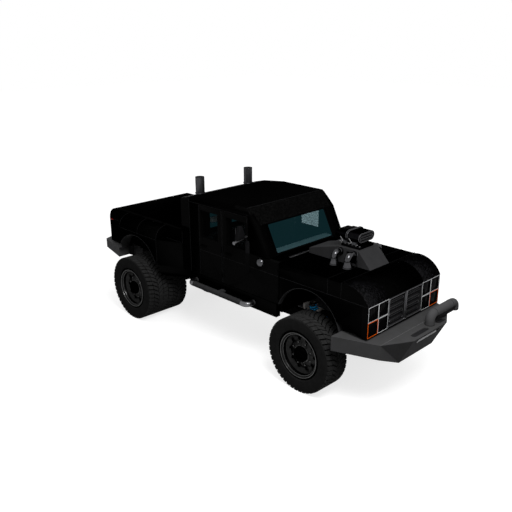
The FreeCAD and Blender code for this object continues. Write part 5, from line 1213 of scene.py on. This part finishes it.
nodeFinish = {"frame_rails": ("chassis", 4), "front_axle": ("iron", 3), "rear_axle": ("iron", 3),
              "leaf_springs": ("springSteel", 2), "drive_line": ("castAlloy", 5),
              "engine_block": ("iron", 8), "blower": ("darkAlloy", 4), "hood_scoop": ("scoop", 3),
              "hood": ("body", 4), "front_fenders": ("noseCrackle", 4), "nose_panel": ("noseBlack", 3),
              "grille": ("grille", 2), "lamp_bezels": ("bezel", 2), "turn_lamp_bezels": ("amber", 2),
              "lamp_glass": ("lens", 2), "front_bumper": ("bumper", 3), "light_bar": ("white", 4),
              "arch_trims": ("trim", 2), "cab_shell": ("body", 4), "roof": ("headerCrackle", 4),
              "cab_glass": ("cabGlass", 0), "dashboard": ("dash", 10), "stack_shroud": ("door", 5),
              "exhaust_stacks": ("stack", 0), "bed_box": ("body", 5), "rear_fenders": ("body", 4),
              "rear_bumper": ("rearBumper", 3), "side_tanks": ("body", 0), "tail_lamps": ("red", 4),
              "tailgate": ("body", 5), "tie_rod": ("springSteel", 0), "knuckle": ("iron", 2),
              "door_front": ("door", 3), "door_rear": ("door", 3), "glass_front": ("sideGlass", 0),
              "glass_rear": ("sideGlass", 0)}
folded = ("front_bumper", "rear_bumper", "hood_scoop", "bed_box", "light_bar", "stack_shroud")
edges = {"rolledDegrees": 30, "foldedDegrees": 7, "bevelDegrees": 40, "flatDegrees": 0.5, "weld": 0.00002}


def makeEdgeTree(degrees):
    # every face smooth, then an edge sharp where its faces meet at over the given angle
    tree = bpy.data.node_groups.new("smoothByAngle", "GeometryNodeTree")
    for flow in ("INPUT", "OUTPUT"):
        tree.interface.new_socket("Geometry", in_out=flow, socket_type="NodeSocketGeometry")
    start = addNode(tree, "NodeGroupInput")
    smooth = addNode(tree, "GeometryNodeSetShadeSmooth", {"domain": "FACE", "Shade Smooth": True},
                     {"Geometry": start})
    angle = addNode(tree, "GeometryNodeInputMeshEdgeAngle")
    steep = addNode(tree, "FunctionNodeCompare", {"data_type": "FLOAT", "operation": "GREATER_THAN",
                                                  "B": math.radians(degrees)}, {"A": angle})
    sharp = addNode(tree, "GeometryNodeSetShadeSmooth", {"domain": "EDGE", "Shade Smooth": False},
                    {"Geometry": smooth, "Selection": steep})
    addNode(tree, "NodeGroupOutput", links={0: sharp})
    return tree


def dressNodes():
    rolledTree = makeEdgeTree(edges["rolledDegrees"])
    foldedTree = makeEdgeTree(edges["foldedDegrees"])
    for name, obj in nodes.items():
        key = name if name in nodeFinish else name.rsplit("_", 1)[0]
        if key not in nodeFinish:
            continue
        finish, bevelMm = nodeFinish[key]
        obj.data.materials.clear()
        obj.data.materials.append(finishes[finish])
        weld = obj.modifiers.new("weld", "WELD")
        weld.merge_threshold = edges["weld"]
        if bevelMm:
            flat = obj.modifiers.new("flat", "DECIMATE")
            flat.decimate_type = "DISSOLVE"
            flat.angle_limit = math.radians(edges["flatDegrees"])
            bevel = obj.modifiers.new("edge", "BEVEL")
            bevel.width = bevelMm / 1000
            bevel.segments = 2
            bevel.limit_method = "ANGLE"
            bevel.angle_limit = math.radians(edges["bevelDegrees"])
            bevel.use_clamp_overlap = True
        soft = obj.modifiers.new("soft", "NODES")
        soft.node_group = foldedTree if name in folded else rolledTree
    print("stage: CAD nodes dressed")


# Stage, light and camera

view = {"place": (8.3955, -8.086, 5.560), "yaw": 135.728, "pitch": -19.154, "roll": -0.266, "focalPx": 634.2,
        "imagePx": 512, "sensorMm": 36, "reach": 500}
light = {"horizon": 0.16, "zenith": 0.91, "keyPlace": (6.5, -3.5, 8.5), "keyAim": (0.5, 0.0, 1.0),
         "keyPower": 700, "keySize": 3.5, "floorHalf": 60, "floorSeen": "#b4b4b4", "floorGlow": 0.75,
         "floorBounce": "#707070"}


def seenDirectly(tree):
    # 1 for a camera, glossy or transmission ray, 0 for the diffuse rays that light the object
    rays = addNode(tree, "ShaderNodeLightPath").node.outputs
    either = addNode(tree, "ShaderNodeMath", {"operation": "MAXIMUM"},
                     {0: rays["Is Camera Ray"], 1: rays["Is Glossy Ray"]})
    return addNode(tree, "ShaderNodeMath", {"operation": "MAXIMUM"},
                   {0: either, 1: rays["Is Transmission Ray"]})


def makeFloor():
    # pale paper that reads as white and keeps a soft shadow; to the object it returns only a little light
    half = light["floorHalf"]
    mesh = bpy.data.meshes.new("floor")
    mesh.from_pydata([(-half, -half, 0), (half, -half, 0), (half, half, 0), (-half, half, 0)], [],
                     [(0, 1, 2, 3)])
    material = bpy.data.materials.new("palePaper")
    tree = emptyTree(material)
    seen = addNode(tree, "ShaderNodeBsdfDiffuse", {"Color": hexToLinear(light["floorSeen"])})
    glow = addNode(tree, "ShaderNodeEmission", {"Color": (1, 1, 1, 1), "Strength": light["floorGlow"]})
    paper = addNode(tree, "ShaderNodeAddShader", links={0: seen, 1: glow})
    bounce = addNode(tree, "ShaderNodeBsdfDiffuse", {"Color": hexToLinear(light["floorBounce"])})
    mix = addNode(tree, "ShaderNodeMixShader", links={0: seenDirectly(tree), 1: bounce, 2: paper})
    addNode(tree, "ShaderNodeOutputMaterial", links={"Surface": mix})
    mesh.materials.append(material)
    floor = bpy.data.objects.new("floor", mesh)
    scene.collection.objects.link(floor)


def makeWorld():
    # white where it is seen; as light it rises from a dim horizon to a bright zenith, like a softbox overhead
    scene.world = bpy.data.worlds.new("studio")
    tree = emptyTree(scene.world)
    direction = addNode(tree, "ShaderNodeTexCoord", out="Generated")
    up = addNode(tree, "ShaderNodeSeparateXYZ", links={"Vector": direction}, out="Z")
    strength = addNode(tree, "ShaderNodeMapRange", {"To Min": light["horizon"], "To Max": light["zenith"]},
                       {"Value": up})
    white = addNode(tree, "ShaderNodeBackground", {"Color": (1, 1, 1, 1), "Strength": 1.0})
    soft = addNode(tree, "ShaderNodeBackground", {"Color": (1, 1, 1, 1)}, {"Strength": strength})
    mix = addNode(tree, "ShaderNodeMixShader", links={0: seenDirectly(tree), 1: soft, 2: white})
    addNode(tree, "ShaderNodeOutputWorld", links={"Surface": mix})


def makeKey():
    # one area lamp turned so that its -z axis points from its place to its aim
    data = bpy.data.lights.new("key", "AREA")
    data.energy = light["keyPower"]
    data.size = light["keySize"]
    key = bpy.data.objects.new("key", data)
    scene.collection.objects.link(key)
    x, y, z = np.array(light["keyAim"]) - np.array(light["keyPlace"])
    key.location = light["keyPlace"]
    key.rotation_euler = (math.atan2(math.hypot(x, y), -z), 0, math.atan2(y, x) - math.pi / 2)


def makeCamera():
    data = bpy.data.cameras.new("camera")
    data.sensor_width = view["sensorMm"]
    data.lens = view["focalPx"] * view["sensorMm"] / view["imagePx"]
    data.clip_end = view["reach"]
    camera = bpy.data.objects.new("camera", data)
    scene.collection.objects.link(camera)
    turn = (Matrix.Rotation(math.radians(view["yaw"] - 90), 4, "Z")
            @ Matrix.Rotation(math.radians(90 + view["pitch"]), 4, "X")
            @ Matrix.Rotation(math.radians(view["roll"]), 4, "Z"))
    camera.matrix_world = Matrix.Translation(view["place"]) @ turn
    scene.camera = camera


makeCamera()
makeFloor()
makeWorld()
makeKey()
scene.view_settings.view_transform = "Standard"

makeTyres()
makeRims()
makeBlowerTrim()
makeHeaderPipes()
makeScoopTrim()
makeGrille()
makeLamps()
makeBullBar()
makeBumperTrim()
makeStepBars()
makeMirrors()
makeSprings()
makeSeats()
makeSteeringWheel()
makeSeams()
makeGlazing()
makeBed()
makeStacks()
dressNodes()
